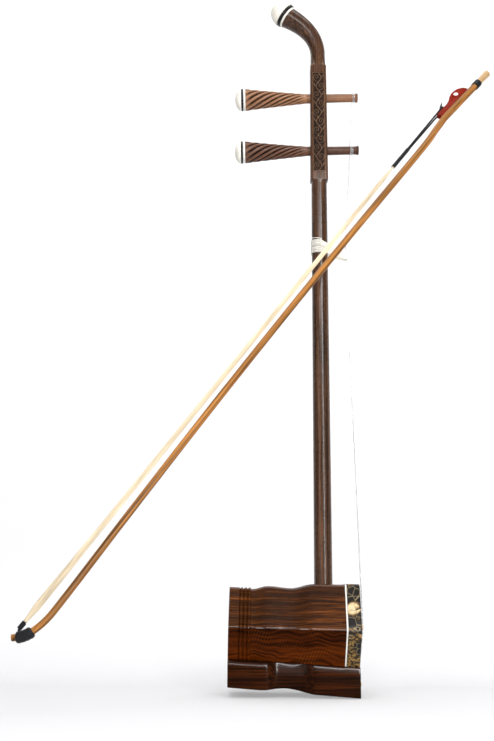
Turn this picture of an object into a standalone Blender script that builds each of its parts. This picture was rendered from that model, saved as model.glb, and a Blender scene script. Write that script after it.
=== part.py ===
"""Erhu with its bow: a two-string fiddle with a hexagonal resonator, built piece by piece.

Metres, +Z up the neck, +X to the snakeskin front. The origin is on the base's underside, under the neck.
"""
import math

import bmesh
import bpy
from mathutils import Matrix, Vector

# Clearance between pieces that touch
FIT = 0.0003

# Resonator: six staves round an axis that dips to the front
RES_LENGTH = 0.1322
RES_FRONT_X = 0.0342
RES_BACK_X = RES_FRONT_X - RES_LENGTH
RES_AXIS_Z = 0.0634
RES_DIP = math.radians(1.2)
INNER_HALF_BACK = 0.0318
INNER_HALF_FRONT = 0.0372
RIM_HALF = 0.0396
RIM_LENGTH = 0.0105
GROOVE_HALF = 0.0380
BEAD_COUNT = 3
BEAD_PITCH = 0.0040
BEAD_RISE = 0.0016
CREST_AT, CREST_HALF = 0.0400, 0.0414
TROUGH_AT, TROUGH_HALF = 0.0630, 0.0398
SHOULDER_AT, SHOULDER_HALF = 0.0880, 0.0447
SKIN_BAND, REBATE_DEPTH = 0.0157, 0.0006
REBATE_AT = RES_LENGTH - SKIN_BAND
INLAY_WIDTH = 0.0024
INLAY_PROUD = 0.0003
SKIN_THICK = 0.0012
SKIN_ROUND = 0.0014
WINDOW_DEPTH, WINDOW_THICK = 0.0060, 0.0040
WINDOW_EYE_R, WINDOW_PETAL_R, WINDOW_CORNER_R, WINDOW_WEB = 0.0056, 0.0062, 0.0030, 0.0034

# Base: a cradle with two feet, a waist and a sloping underside
BASE_SLOPE = math.radians(4.3)
BASE_OVERHANG = 0.0006
BASE_HALF_WIDTH = 0.0352
BASE_WAIST = 0.0042
ARCH_BACK_X, ARCH_FRONT_X, ARCH_RISE = -0.0680, -0.0100, 0.0034
CRADLE_RISE = 0.0092
BASE_ROUND = 0.0046
BASE_STATIONS = 25

# Neck: round below, squared where the pegs go through, then a head that curls back
NECK_FOOT_Z = 0.0070
NECK_R_LOW, NECK_R_HIGH = 0.0096, 0.0087
NECK_TAPER_Z = 0.1100
SQUARE_Z, SQUARE_TOP_Z = 0.5540, 0.6922
SQUARE_HALF_LOW, SQUARE_HALF_TOP = 0.0100, 0.0092
SQUARE_HALF_DEEP = 0.0088
# How square the section is, and the length of the steps to the round neck and to the head
SQUARE_POWER, THROAT_POWER, SQUARE_STEP = 8.0, 4.0, 0.0024
PANEL_WIDTH, PANEL_DEPTH, PANEL_MARGIN = 0.0122, 0.0007, 0.0085
HEAD_THROAT_Z, HEAD_THROAT_R = 0.7080, 0.0084
HEAD_BEND_Z, HEAD_TILT = 0.7370, math.radians(40)
HEAD_END_X, HEAD_END_Z, HEAD_END_R = -0.0336, 0.7560, 0.0122
HEAD_WHITE_THICK, HEAD_BLACK_THICK, HEAD_RING_PROUD = 0.0022, 0.0032, 0.0009
HEAD_CAP_HEIGHT, HEAD_CAP_R = 0.0165, 0.0146

# Pegs
PEG_TILT = math.radians(1.4)
UPPER_PEG_Z, LOWER_PEG_Z = 0.6545, 0.5901
PEG_HANDLE_END, PEG_HANDLE_R = 0.0836, 0.0124
PEG_WAIST, PEG_WAIST_R = 0.0128, 0.0053
PEG_SHAFT_R, PEG_STRING_R, PEG_STRING_END = 0.0050, 0.0046, 0.0452
PEG_COLLAR_R, PEG_COLLAR_LENGTH = 0.0053, 0.0026
PEG_FLUTES, PEG_FLUTE_DEPTH, PEG_TWIST = 10, 0.0014, math.radians(-300)
PEG_STATIONS, PEG_BELLY = 17, 0.9
PEG_WHITE_THICK, PEG_BLACK_THICK, PEG_CAP_HEIGHT = 0.0019, 0.0024, 0.0066

# Strings, bridge and the thread loop that draws the strings to the neck
STRING_R = 0.00028
STRING_TURNS, STRING_PITCH = 3, 0.00105
UPPER_WIND_X, LOWER_WIND_X = 0.0389, 0.0356
LOOP_STRING_X, LOOP_STRING_Z, LOOP_STRING_HALF = 0.0280, 0.4640, 0.0016
LOOP_NECK_Z, LOOP_TURNS = 0.4750, 7
LOOP_CORD_R, LOOP_NECK_PITCH, LOOP_STRING_PITCH = 0.00045, 0.0019, 0.0014
BRIDGE_HEIGHT, BRIDGE_HALF_WIDTH, BRIDGE_HALF_THICK = 0.0052, 0.0115, 0.0030
BRIDGE_TOP_HALF, BRIDGE_OFF_CENTRE = 0.0055, 0.0020
BRIDGE_STRING_HALF = 0.0032
TAIL_PIN_R, TAIL_PIN_HEAD_R, TAIL_PIN_HEAD = 0.0014, 0.0024, 0.0008
TAIL_PIN_OUT, TAIL_PIN_IN = 0.0036, 0.0100
TAIL_PIN_HALF, TAIL_PIN_Z = 0.0046, 0.0090

# Bow: the hair runs between the strings, in an upright plane turned from the resonator's axis.
# S is along the hair from where it crosses the strings, and D from the hair towards the stick.
BOW_CROSS_X, BOW_CROSS_Z = 0.0293, 0.5011
BOW_TURN = math.radians(28.5)
BOW_RISE = math.radians(51.0)
BOW_ROLL = math.radians(45.0)
HAIR_TIP_S, HAIR_FROG_S = -0.5490, 0.1115
HAIR_HALF_WIDTH, HAIR_HALF_THICK, HAIR_END_R, HAIR_GATHER = 0.0026, 0.0009, 0.0011, 0.0300
STICK_R_TIP, STICK_R_MID, STICK_R_BUTT = 0.0031, 0.0036, 0.0041
HANDLE_S, HANDLE_D, HANDLE_SLOPE = 0.2113, 0.0128, math.radians(4.5)
STICK_PATH = (
    (-0.5663, 0.0000), (-0.5600, 0.0080), (-0.5524, 0.0126), (-0.5362, 0.0170), (-0.5200, 0.0160),
    (-0.4117, 0.0137), (-0.2713, 0.0116), (-0.1286, 0.0113), (0.0000, 0.0125), (0.1480, 0.0150),
    (0.1850, 0.0138), (HANDLE_S, HANDLE_D),
)
WRAP_FROM_S, WRAP_TO_S, WRAP_R = -0.5640, -0.5500, 0.0054
KNOT_FROM_S, KNOT_TO_S, KNOT_R = -0.5568, -0.5493, 0.0024
BINDING_FROM_S, BINDING_TO_S, BINDING_END_D = 0.1073, 0.1433, 0.0006
BINDING_R_HAIR, BINDING_R_LOOP, BINDING_BORE_R, BINDING_BORE = 0.0023, 0.0024, 0.0018, 0.0140

# Handle end of the bow. U is along the handle from the bend, and V from its axis towards the hair.
HANDLE_LENGTH, BAND_LENGTH, BAND_THICK = 0.0775, 0.0095, 0.0005
BUTTON_LENGTH, BUTTON_R, BUTTON_NECK_R = 0.0205, 0.0044, 0.0035
FROG_BACK_U, FROG_NOSE_U, FROG_NOSE_V = 0.0580, -0.0014, 0.0098
FROG_PROFILE = (
    (0.0580, 0.0052), (0.0566, 0.0100), (0.0500, 0.0148), (0.0410, 0.0158), (0.0335, 0.0142),
    (0.0270, 0.0114), (0.0200, FROG_NOSE_V),
)
FROG_HALF_THICK, FROG_LIP = 0.0030, 0.0018
FROG_TRAVEL = 0.0042
EYE_U, EYE_V, EYE_R, EYE_THICK = 0.0425, 0.0106, 0.0029, 0.0010
HOOK_PROFILE = (
    (0.0005, FROG_NOSE_V + FIT), (0.0060, 0.0120), (0.0150, 0.0162), (0.0242, 0.0187),
    (0.0185, 0.0153), (0.0136, 0.0122), (0.0120, FROG_NOSE_V + FIT),
)
HOOK_HALF_THICK = 0.0014
CORD_R, CORD_U, CORD_V, CORD_HALF, CORD_START_HALF = 0.0008, 0.0126, 0.0116, 0.0026, 0.0013
SCREW_R, SCREW_FROM_U, SCREW_IN_BUTTON = 0.0012, 0.0200, 0.0080
EYELET_U, EYELET_HALF_LENGTH, EYELET_HALF, EYELET_DEPTH = 0.0300, 0.0040, 0.0021, 0.0075

ROUND_STEPS = 24
# How far a cutter runs past what it cuts
BEYOND = 0.02
SIN60 = math.sin(math.radians(60))
TAN30 = math.tan(math.radians(30))


def clear_scene():
    for obj in list(bpy.data.objects):
        bpy.data.objects.remove(obj, do_unlink=True)


def new_collection(name):
    collection = bpy.data.collections.new(name)
    bpy.context.scene.collection.children.link(collection)
    return collection


clear_scene()
PARTS = new_collection("erhu")
CUTTERS = new_collection("erhu_cutters")


def wood(name, color, roughness=0.35, metallic=0.0):
    """A plain Principled material."""
    material = bpy.data.materials.new(name)
    material.use_nodes = True
    shader = material.node_tree.nodes["Principled BSDF"]
    shader.inputs["Base Color"].default_value = (*color, 1.0)
    shader.inputs["Roughness"].default_value = roughness
    shader.inputs["Metallic"].default_value = metallic
    return material


DARK_WOOD = wood("dark_wood", (0.075, 0.032, 0.015))
BASE_WOOD = wood("base_wood", (0.045, 0.024, 0.015))
NECK_WOOD = wood("neck_wood", (0.070, 0.036, 0.022))
UPPER_PEG_WOOD = wood("upper_peg_wood", (0.280, 0.140, 0.075))
LOWER_PEG_WOOD = wood("lower_peg_wood", (0.115, 0.055, 0.034))
PALE_WOOD = wood("pale_wood", (0.500, 0.330, 0.170), 0.5)
BONE = wood("bone", (0.820, 0.760, 0.640), 0.3)
WHITE_INLAY = wood("white_inlay", (0.850, 0.840, 0.800), 0.35)
BLACK_HORN = wood("black_horn", (0.010, 0.009, 0.009), 0.3)
SNAKESKIN = wood("snakeskin", (0.090, 0.075, 0.055), 0.45)
STRING_STEEL = wood("string_steel", (0.640, 0.620, 0.580), 0.3, 1.0)
BRASS = wood("brass", (0.700, 0.480, 0.200), 0.3, 1.0)
STEEL = wood("steel", (0.560, 0.560, 0.570), 0.3, 1.0)
THREAD = wood("thread", (0.860, 0.820, 0.730), 0.8)
REED = wood("reed", (0.430, 0.190, 0.055), 0.4)
HAIR = wood("horsehair", (0.850, 0.770, 0.610), 0.7)
BLACK_CORD = wood("black_cord", (0.012, 0.012, 0.013), 0.6)
RED_FROG = wood("red_frog", (0.260, 0.025, 0.012), 0.25)
PEARL = wood("pearl", (0.850, 0.780, 0.780), 0.2)


def empty(name, matrix):
    """A named frame that pieces are parented to."""
    obj = bpy.data.objects.new(name, None)
    PARTS.objects.link(obj)
    obj.matrix_world = matrix
    return obj


def place(name, data, material, frame=None, local=None):
    """A named piece in the parts collection, placed in its frame."""
    obj = bpy.data.objects.new(name, data)
    PARTS.objects.link(obj)
    if material is not None:
        data.materials.append(material)
    obj.parent = frame
    obj.matrix_local = local or Matrix.Identity(4)
    return obj


def as_cutter(obj):
    """Moves a piece to the cutters, which aren't part of the object."""
    PARTS.objects.unlink(obj)
    CUTTERS.objects.link(obj)
    obj.hide_render = True
    obj.display_type = "WIRE"
    return obj


def cut(obj, cutter):
    modifier = obj.modifiers.new("cut_" + cutter.name, "BOOLEAN")
    modifier.operation = "DIFFERENCE"
    modifier.object = cutter


def loft(name, rings, material, frame=None, local=None, loop=False, smooth=True):
    """A solid through rings of points: capped at both ends, or joined round into a loop."""
    mesh = bpy.data.meshes.new(name)
    work = bmesh.new()
    rows = [[work.verts.new(point) for point in ring] for ring in rings]
    count = len(rings[0])
    pairs = list(zip(rows, rows[1:] + rows[:1])) if loop else list(zip(rows, rows[1:]))
    for row, following in pairs:
        for i in range(count):
            j = (i + 1) % count
            work.faces.new((row[i], row[j], following[j], following[i]))
    if not loop:
        work.faces.new(rows[0][::-1])
        work.faces.new(rows[-1])
    bmesh.ops.recalc_face_normals(work, faces=work.faces)
    work.to_mesh(mesh)
    work.free()
    obj = place(name, mesh, material, frame, local)
    if smooth:
        mesh.shade_smooth()
        mesh.set_sharp_from_angle(angle=math.radians(35))
    return obj


def turned(name, profile, material, frame=None, local=None, closed=False, steps=ROUND_STEPS):
    """A turned piece: radius and height pairs, top to bottom on the outer side, spun about local Z."""
    mesh = bpy.data.meshes.new(name)
    count = len(profile)
    edges = [(i, i + 1) for i in range(count - 1)]
    if closed:
        edges.append((count - 1, 0))
    mesh.from_pydata([(radius, 0.0, height) for radius, height in profile], edges, [])
    obj = place(name, mesh, material, frame, local)
    screw = obj.modifiers.new("turn", "SCREW")
    screw.axis = "Z"
    screw.steps = steps
    screw.render_steps = steps
    screw.use_merge_vertices = True
    screw.merge_threshold = 0.00001
    screw.use_smooth_shade = True
    return obj


def tube(name, points, radius, material, frame=None, radii=None, resolution=1):
    """A round wire, cord or stick along a line of points."""
    curve = bpy.data.curves.new(name, "CURVE")
    curve.dimensions = "3D"
    curve.bevel_depth = radius
    curve.bevel_resolution = resolution
    curve.use_fill_caps = True
    spline = curve.splines.new("POLY")
    spline.points.add(len(points) - 1)
    for i, point in enumerate(points):
        spline.points[i].co = (*point, 1.0)
        spline.points[i].radius = radii[i] / radius if radii else 1.0
    return place(name, curve, material, frame)


def plate(name, outlines, half_thick, material, frame=None, local=None):
    """A flat piece: an outline in local XY, with any further outlines as holes."""
    curve = bpy.data.curves.new(name, "CURVE")
    curve.dimensions = "2D"
    curve.fill_mode = "BOTH"
    curve.extrude = half_thick
    for outline in outlines:
        spline = curve.splines.new("POLY")
        spline.points.add(len(outline) - 1)
        spline.use_cyclic_u = True
        for i, (x, y) in enumerate(outline):
            spline.points[i].co = (x, y, 0.0, 1.0)
    return place(name, curve, material, frame, local)


def as_mesh(obj):
    """Replaces a curve piece by its welded mesh, so that it can be cut."""
    bpy.context.view_layer.update()
    depsgraph = bpy.context.evaluated_depsgraph_get()
    mesh = bpy.data.meshes.new_from_object(obj.evaluated_get(depsgraph))
    work = bmesh.new()
    work.from_mesh(mesh)
    bmesh.ops.remove_doubles(work, verts=work.verts, dist=0.000001)
    bmesh.ops.recalc_face_normals(work, faces=work.faces)
    work.to_mesh(mesh)
    work.free()
    name = obj.name
    frame = obj.parent
    local = obj.matrix_local.copy()
    bpy.data.objects.remove(obj, do_unlink=True)
    return place(name, mesh, None, frame, local)


def rod_cutter(name, radius, start, end, frame=None, end_radius=None):
    """A round hole from one point to another."""
    start, end = Vector(start), Vector(end)
    work = bmesh.new()
    bmesh.ops.create_cone(
        work, cap_ends=True, segments=ROUND_STEPS, radius1=radius,
        radius2=end_radius or radius, depth=(end - start).length,
    )
    mesh = bpy.data.meshes.new(name)
    work.to_mesh(mesh)
    work.free()
    return as_cutter(place(name, mesh, None, frame, aim((start + end) / 2, end - start)))


def box_cutter(name, size, local, frame=None):
    """A rectangular recess or slot."""
    work = bmesh.new()
    bmesh.ops.create_cube(work, size=1.0)
    bmesh.ops.scale(work, vec=size, verts=work.verts)
    mesh = bpy.data.meshes.new(name)
    work.to_mesh(mesh)
    work.free()
    return as_cutter(place(name, mesh, None, frame, local))


def aim(origin, axis):
    """A frame at origin whose Z runs along axis."""
    return Matrix.Translation(origin) @ Vector(axis).to_track_quat("Z", "Y").to_matrix().to_4x4()


def ease(a, b, t):
    return a + (b - a) * (0.5 - 0.5 * math.cos(math.pi * t))


def circle(radius, centre=(0.0, 0.0), count=ROUND_STEPS, half_turn=False):
    span = math.pi if half_turn else 2 * math.pi
    steps = [span * i / (count - 1 if half_turn else count) for i in range(count)]
    return [(centre[0] + radius * math.cos(a), centre[1] + radius * math.sin(a)) for a in steps]


def smooth_path(points, per_span):
    """Points on a smooth curve through the given ones."""
    points = [Vector(point) for point in points]
    padded = [2 * points[0] - points[1], *points, 2 * points[-1] - points[-2]]
    path = []
    for a, b, c, d in zip(padded, padded[1:], padded[2:], padded[3:]):
        for i in range(per_span):
            t = i / per_span
            square = 2 * a - 5 * b + 4 * c - d
            cube = 3 * b - a - 3 * c + d
            path.append(0.5 * (2 * b + (c - a) * t + square * t ** 2 + cube * t ** 3))
    return path + [points[-1]]


def least_self_gap(points, radius, apart):
    """The least gap between stretches of a wound tube that are at least this many points apart."""
    points = [Vector(point) for point in points]
    nearest = min(
        (points[i] - points[j]).length
        for i in range(len(points))
        for j in range(i + apart, len(points))
    )
    return nearest - 2 * radius


def dome_profile(radius, height, steps=6):
    """A dome on its flat side, from its top down to its rim and in to the centre."""
    arc = [math.pi / 2 * i / steps for i in range(steps + 1)]
    return [(radius * math.sin(a), height * math.cos(a)) for a in arc] + [(0.0, 0.0)]


# Resonator
REBATE_HALF = SHOULDER_HALF - REBATE_DEPTH
SKIN_INNER_HALF = REBATE_HALF + FIT
SKIN_OUTER_HALF = SKIN_INNER_HALF + SKIN_THICK
SKIN_AT = REBATE_AT + INLAY_WIDTH + 2 * FIT
RES_FRAME = Matrix.Translation((0.0, 0.0, RES_AXIS_Z)) @ Matrix.Rotation(RES_DIP, 4, "Y")
FACE_FRAME = Matrix(((0, 0, 1, 0), (1, 0, 0, 0), (0, 1, 0, 0), (0, 0, 0, 1)))
STAVES = ("top", "upper_near", "lower_near", "bottom", "lower_far", "upper_far")
STEP = 0.0002


def wave_outline():
    """Distance from the back rim and half the distance across flats, along a stave's outside."""
    stations = [(0.0, RIM_HALF), (RIM_LENGTH, GROOVE_HALF)]
    for bead in range(BEAD_COUNT):
        for quarter in range(1, 5):
            along = RIM_LENGTH + (bead + quarter / 4) * BEAD_PITCH
            stations.append((along, GROOVE_HALF + BEAD_RISE * math.sin(math.pi * quarter / 4)))
    turns = [stations[-1], (CREST_AT, CREST_HALF), (TROUGH_AT, TROUGH_HALF), (SHOULDER_AT, SHOULDER_HALF)]
    for (s0, half0), (s1, half1) in zip(turns, turns[1:]):
        for fifth in range(1, 6):
            stations.append((s0 + (s1 - s0) * fifth / 5, ease(half0, half1, fifth / 5)))
    stations.append((REBATE_AT, SHOULDER_HALF))
    return stations


def inner_half(along):
    return INNER_HALF_BACK + (INNER_HALF_FRONT - INNER_HALF_BACK) * along / RES_LENGTH


def hex_ring(along, half):
    """A hexagon across the resonator's axis, flat on top."""
    reach = half / SIN60
    angles = [math.radians(30 + 60 * k) for k in range(6)]
    return [(RES_BACK_X + along, -reach * math.sin(a), reach * math.cos(a)) for a in angles]


def stave_ring(along, outer, facet):
    """A stave's section: its mitres lean in by half the glue gap."""
    turn = math.radians(60 * facet)
    inner = inner_half(along)
    ring = []
    for out, side in ((outer, 1), (outer, -1), (inner, -1), (inner, 1)):
        across = side * (out * TAN30 - FIT / 2 / SIN60)
        y = across * math.cos(turn) - out * math.sin(turn)
        z = across * math.sin(turn) + out * math.cos(turn)
        ring.append((RES_BACK_X + along, y, z))
    return ring


def make_resonator():
    frame = empty("resonator_frame", RES_FRAME)
    wave = wave_outline()
    front = [(REBATE_AT + STEP, REBATE_HALF), (RES_LENGTH - SKIN_THICK - FIT, REBATE_HALF)]
    staves = []
    for facet, name in enumerate(STAVES):
        rings = [stave_ring(along, half, facet) for along, half in wave + front]
        staves.append(loft("stave_" + name, rings, DARK_WOOD, frame, smooth=False))

    inlay_at = REBATE_AT + STEP + FIT
    inlay_outer = SHOULDER_HALF + INLAY_PROUD
    corners = [
        hex_ring(inlay_at, SKIN_INNER_HALF), hex_ring(inlay_at, inlay_outer),
        hex_ring(inlay_at + INLAY_WIDTH - STEP, inlay_outer),
        hex_ring(inlay_at + INLAY_WIDTH - STEP, SKIN_INNER_HALF),
    ]
    loft("front_inlay", corners, WHITE_INLAY, frame, loop=True, smooth=False)

    skin = [
        hex_ring(RES_LENGTH - SKIN_THICK, SKIN_INNER_HALF), hex_ring(SKIN_AT, SKIN_INNER_HALF),
        hex_ring(SKIN_AT, SKIN_OUTER_HALF), hex_ring(RES_LENGTH - SKIN_ROUND, SKIN_OUTER_HALF),
        hex_ring(RES_LENGTH - SKIN_ROUND * 0.3, SKIN_OUTER_HALF - SKIN_ROUND * 0.3),
        hex_ring(RES_LENGTH, SKIN_OUTER_HALF - SKIN_ROUND),
    ]
    loft("snakeskin", skin, SNAKESKIN, frame)

    make_window(frame)
    make_bridge(frame)
    return frame, staves, wave


def make_window(frame):
    """The carved sound window: a six-petalled flower of openings in a hexagonal plate."""
    half = inner_half(WINDOW_DEPTH - WINDOW_THICK / 2) - FIT
    reach = half / SIN60
    angles = [math.radians(60 * k) for k in range(6)]
    outline = [(reach * math.sin(a + math.pi / 6), reach * math.cos(a + math.pi / 6)) for a in angles]
    petal_ring = WINDOW_EYE_R + WINDOW_PETAL_R + WINDOW_WEB
    corner_ring = reach - WINDOW_WEB - 2 * WINDOW_CORNER_R
    holes = [circle(WINDOW_EYE_R, count=16)]
    for a in angles:
        holes.append(circle(WINDOW_PETAL_R, (petal_ring * math.sin(a), petal_ring * math.cos(a)), 16))
        corner = a + math.pi / 6
        spot = (corner_ring * math.sin(corner), corner_ring * math.cos(corner))
        holes.append(circle(WINDOW_CORNER_R, spot, 12))
    local = Matrix.Translation((RES_BACK_X + WINDOW_DEPTH, 0.0, 0.0)) @ FACE_FRAME
    plate("sound_window", [outline, *holes], WINDOW_THICK / 2, DARK_WOOD, frame, local)


def make_bridge(frame):
    """A low wooden arch on two feet, standing on the skin under the strings."""
    arch = circle(BRIDGE_HEIGHT * 0.45, count=7, half_turn=True)
    outline = [(BRIDGE_HALF_WIDTH, 0.0), (BRIDGE_TOP_HALF, BRIDGE_HEIGHT)]
    outline += [(-BRIDGE_TOP_HALF, BRIDGE_HEIGHT), (-BRIDGE_HALF_WIDTH, 0.0), *arch[::-1]]
    upright = Matrix(((0, 1, 0, 0), (1, 0, 0, 0), (0, 0, -1, 0), (0, 0, 0, 1)))
    local = Matrix.Translation((RES_FRONT_X + FIT, 0.0, BRIDGE_OFF_CENTRE)) @ upright
    plate("bridge", [outline], BRIDGE_HALF_THICK, PALE_WOOD, frame, local)


# Base
BASE_BACK_X = RES_BACK_X - BASE_OVERHANG
BASE_FRONT_X = RES_FRONT_X - BASE_OVERHANG


def arch_share(x):
    """How far into the arch between the feet a point is, from 0 to 1 and back."""
    t = (x - ARCH_BACK_X) / (ARCH_FRONT_X - ARCH_BACK_X)
    return math.sin(math.pi * min(max(t, 0.0), 1.0)) ** 2


def base_underside(x):
    return ARCH_RISE * arch_share(x) - math.tan(BASE_SLOPE) * x


def cradle_top(x):
    t = (x - BASE_BACK_X) / (BASE_FRONT_X - BASE_BACK_X)
    half = RIM_HALF + (SHOULDER_HALF - RIM_HALF) * t
    return RES_AXIS_Z - math.tan(RES_DIP) * x - half + CRADLE_RISE


def base_ring(x):
    """The base's section at x: a block with rounded edges, drawn in at the waist."""
    wide = BASE_HALF_WIDTH - BASE_WAIST * arch_share(x)
    low, high = base_underside(x), cradle_top(x)
    right = []
    for i in range(3):
        a = math.pi / 2 * i / 2
        small = BASE_ROUND / 2
        right.append((wide - small + small * math.sin(a), low + small - small * math.cos(a)))
    for i in range(4):
        a = math.pi / 2 * i / 3
        y = wide - BASE_ROUND + BASE_ROUND * math.cos(a)
        right.append((y, high - BASE_ROUND + BASE_ROUND * math.sin(a)))
    return [(x, y, z) for y, z in right] + [(x, -y, z) for y, z in right[::-1]]


def make_base(res_frame, wave):
    last = BASE_STATIONS - 1
    spots = [BASE_BACK_X + (BASE_FRONT_X - BASE_BACK_X) * i / last for i in range(BASE_STATIONS)]
    base = loft("base", [base_ring(x) for x in spots], BASE_WOOD)
    front = [(REBATE_AT + STEP, SKIN_OUTER_HALF), (RES_LENGTH + BEYOND, SKIN_OUTER_HALF)]
    seat = [(-BEYOND, RIM_HALF), *wave, *front]
    rings = [hex_ring(along, half + FIT) for along, half in seat]
    cut(base, as_cutter(loft("resonator_seat", rings, None, res_frame, smooth=False)))
    return base


# Neck and head
def neck_ring(centre, along, half_x, half_y, power):
    """A section across the neck: round at power 2 and squarer above it."""
    side = Vector((along.z, 0.0, -along.x))
    ring = []
    for i in range(16):
        a = math.radians(22.5 * i + 11.25)
        c, s = math.cos(a), math.sin(a)
        reach = (abs(c) ** power + abs(s) ** power) ** (-1 / power)
        ring.append(centre + side * half_x * c * reach + Vector((0.0, half_y * s * reach, 0.0)))
    return ring


def neck_radius(z):
    t = (z - NECK_TAPER_Z) / (SQUARE_Z - NECK_TAPER_Z)
    return NECK_R_LOW + (NECK_R_HIGH - NECK_R_LOW) * min(max(t, 0.0), 1.0)


HEAD_END = Vector((HEAD_END_X, 0.0, HEAD_END_Z))
HEAD_BEND = Vector((0.0, 0.0, HEAD_BEND_Z))
HEAD_AXIS = Vector((-math.cos(HEAD_TILT), 0.0, math.sin(HEAD_TILT)))


def make_neck():
    up = Vector((0.0, 0.0, 1.0))
    step = SQUARE_STEP
    spans = [
        (NECK_FOOT_Z, NECK_R_LOW, NECK_R_LOW, 2), (NECK_TAPER_Z, NECK_R_LOW, NECK_R_LOW, 2),
        (SQUARE_Z - step, NECK_R_HIGH, NECK_R_HIGH, 2),
        (SQUARE_Z, SQUARE_HALF_LOW, SQUARE_HALF_DEEP, SQUARE_POWER),
        (SQUARE_TOP_Z, SQUARE_HALF_TOP, SQUARE_HALF_DEEP, SQUARE_POWER),
        (SQUARE_TOP_Z + step, SQUARE_HALF_TOP - step / 4, SQUARE_HALF_DEEP - step / 4, THROAT_POWER),
    ]
    rings = [neck_ring(Vector((0.0, 0.0, z)), up, wide, deep, power) for z, wide, deep, power in spans]
    throat = Vector((0.0, 0.0, HEAD_THROAT_Z))
    for i in range(9):
        t = i / 8
        centre = throat * (1 - t) ** 2 + HEAD_BEND * 2 * t * (1 - t) + HEAD_END * t ** 2
        along = (up * (1 - t) + HEAD_AXIS * t).normalized()
        radius = HEAD_THROAT_R + (HEAD_END_R - HEAD_THROAT_R) * t ** 1.5
        rings.append(neck_ring(centre, along, radius, radius, 2))
    neck = loft("neck", rings, NECK_WOOD)
    panel_height = SQUARE_TOP_Z - SQUARE_Z - 2 * PANEL_MARGIN
    for side, name in ((-1, "near"), (1, "far")):
        spot = (0.0, side * SQUARE_HALF_DEEP, (SQUARE_Z + SQUARE_TOP_Z) / 2)
        size = (PANEL_WIDTH, 2 * PANEL_DEPTH, panel_height)
        cut(neck, box_cutter("panel_" + name, size, Matrix.Translation(spot)))
    return neck


def make_head_trim():
    """A white ring, a black ring and a bone dome on the end of the head."""
    at = HEAD_END + HEAD_AXIS * FIT
    white = HEAD_END_R + HEAD_RING_PROUD
    black = white + HEAD_RING_PROUD
    turned("head_white_ring", disc_profile(white, HEAD_WHITE_THICK), WHITE_INLAY, None, aim(at, HEAD_AXIS))
    at = at + HEAD_AXIS * (HEAD_WHITE_THICK + FIT)
    turned("head_black_ring", disc_profile(black, HEAD_BLACK_THICK), BLACK_HORN, None, aim(at, HEAD_AXIS))
    at = at + HEAD_AXIS * (HEAD_BLACK_THICK + FIT)
    turned("head_cap", dome_profile(HEAD_CAP_R, HEAD_CAP_HEIGHT), BONE, None, aim(at, HEAD_AXIS))


def disc_profile(radius, thick):
    """A disc with a softly turned rim, standing on its flat side."""
    soft = thick * 0.25
    rim = [(radius - soft, thick), (radius, thick - soft), (radius, soft), (radius - soft, 0.0)]
    return [(0.0, thick), *rim, (0.0, 0.0)]


# Pegs
def peg_frame(z):
    """At the neck's axis, with Z along the peg towards its string end."""
    axis = Vector((math.cos(PEG_TILT), 0.0, math.sin(PEG_TILT)))
    return aim(Vector((0.0, 0.0, z)), axis)


def peg_radius_stations():
    """Place along the peg, radius and depth of the flutes."""
    stations = []
    handle = PEG_HANDLE_END - PEG_WAIST
    for i in range(PEG_STATIONS):
        t = i / (PEG_STATIONS - 1)
        radius = PEG_HANDLE_R + (PEG_WAIST_R - PEG_HANDLE_R) * t ** PEG_BELLY
        fade = min(1.0, 6 * (1 - t)) * min(1.0, 0.35 + 6 * t)
        stations.append((-PEG_HANDLE_END + handle * t, radius, PEG_FLUTE_DEPTH * fade))
    stations.append((-SQUARE_HALF_LOW, PEG_SHAFT_R + FIT, 0.0))
    stations.append((SQUARE_HALF_LOW, PEG_STRING_R + FIT, 0.0))
    collar = PEG_STRING_END - PEG_COLLAR_LENGTH
    stations.append((collar - STEP, PEG_STRING_R, 0.0))
    for third in range(3):
        low = collar + PEG_COLLAR_LENGTH * third / 3
        stations.append((low, PEG_COLLAR_R, 0.0))
        stations.append((low + PEG_COLLAR_LENGTH * 0.26, PEG_COLLAR_R, 0.0))
        if third < 2:
            stations.append((low + PEG_COLLAR_LENGTH * 0.30, PEG_STRING_R, 0.0))
    return stations


def make_peg(name, z, material, neck):
    frame = empty(name + "_axis", peg_frame(z))
    count = PEG_FLUTES * 3
    rings = []
    for along, radius, depth in peg_radius_stations():
        twist = PEG_TWIST * (min(along, -PEG_WAIST) + PEG_HANDLE_END) / PEG_HANDLE_END
        ring = []
        for i in range(count):
            a = 2 * math.pi * i / count
            groove = depth * (0.5 - 0.5 * math.cos(PEG_FLUTES * a))
            reach = radius - groove
            ring.append((reach * math.cos(a + twist), reach * math.sin(a + twist), along))
        rings.append(ring)
    loft(name, rings, material, frame)
    outward = (0.0, 0.0, -1.0)
    at = -PEG_HANDLE_END - FIT
    white = disc_profile(PEG_HANDLE_R - STEP, PEG_WHITE_THICK)
    turned(name + "_white_ring", white, WHITE_INLAY, frame, aim(Vector((0.0, 0.0, at)), outward))
    at -= PEG_WHITE_THICK + FIT
    black = disc_profile(PEG_HANDLE_R + STEP, PEG_BLACK_THICK)
    turned(name + "_black_ring", black, BLACK_HORN, frame, aim(Vector((0.0, 0.0, at)), outward))
    at -= PEG_BLACK_THICK + FIT
    cap = dome_profile(PEG_HANDLE_R - 2 * STEP, PEG_CAP_HEIGHT)
    turned(name + "_cap", cap, BONE, frame, aim(Vector((0.0, 0.0, at)), outward))
    reach = 2 * SQUARE_HALF_LOW
    bore = rod_cutter(
        name + "_bore", PEG_SHAFT_R + 3 * FIT, (0.0, 0.0, -reach), (0.0, 0.0, reach), frame,
        PEG_STRING_R + 2 * FIT,
    )
    cut(neck, bore)
    return frame


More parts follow.
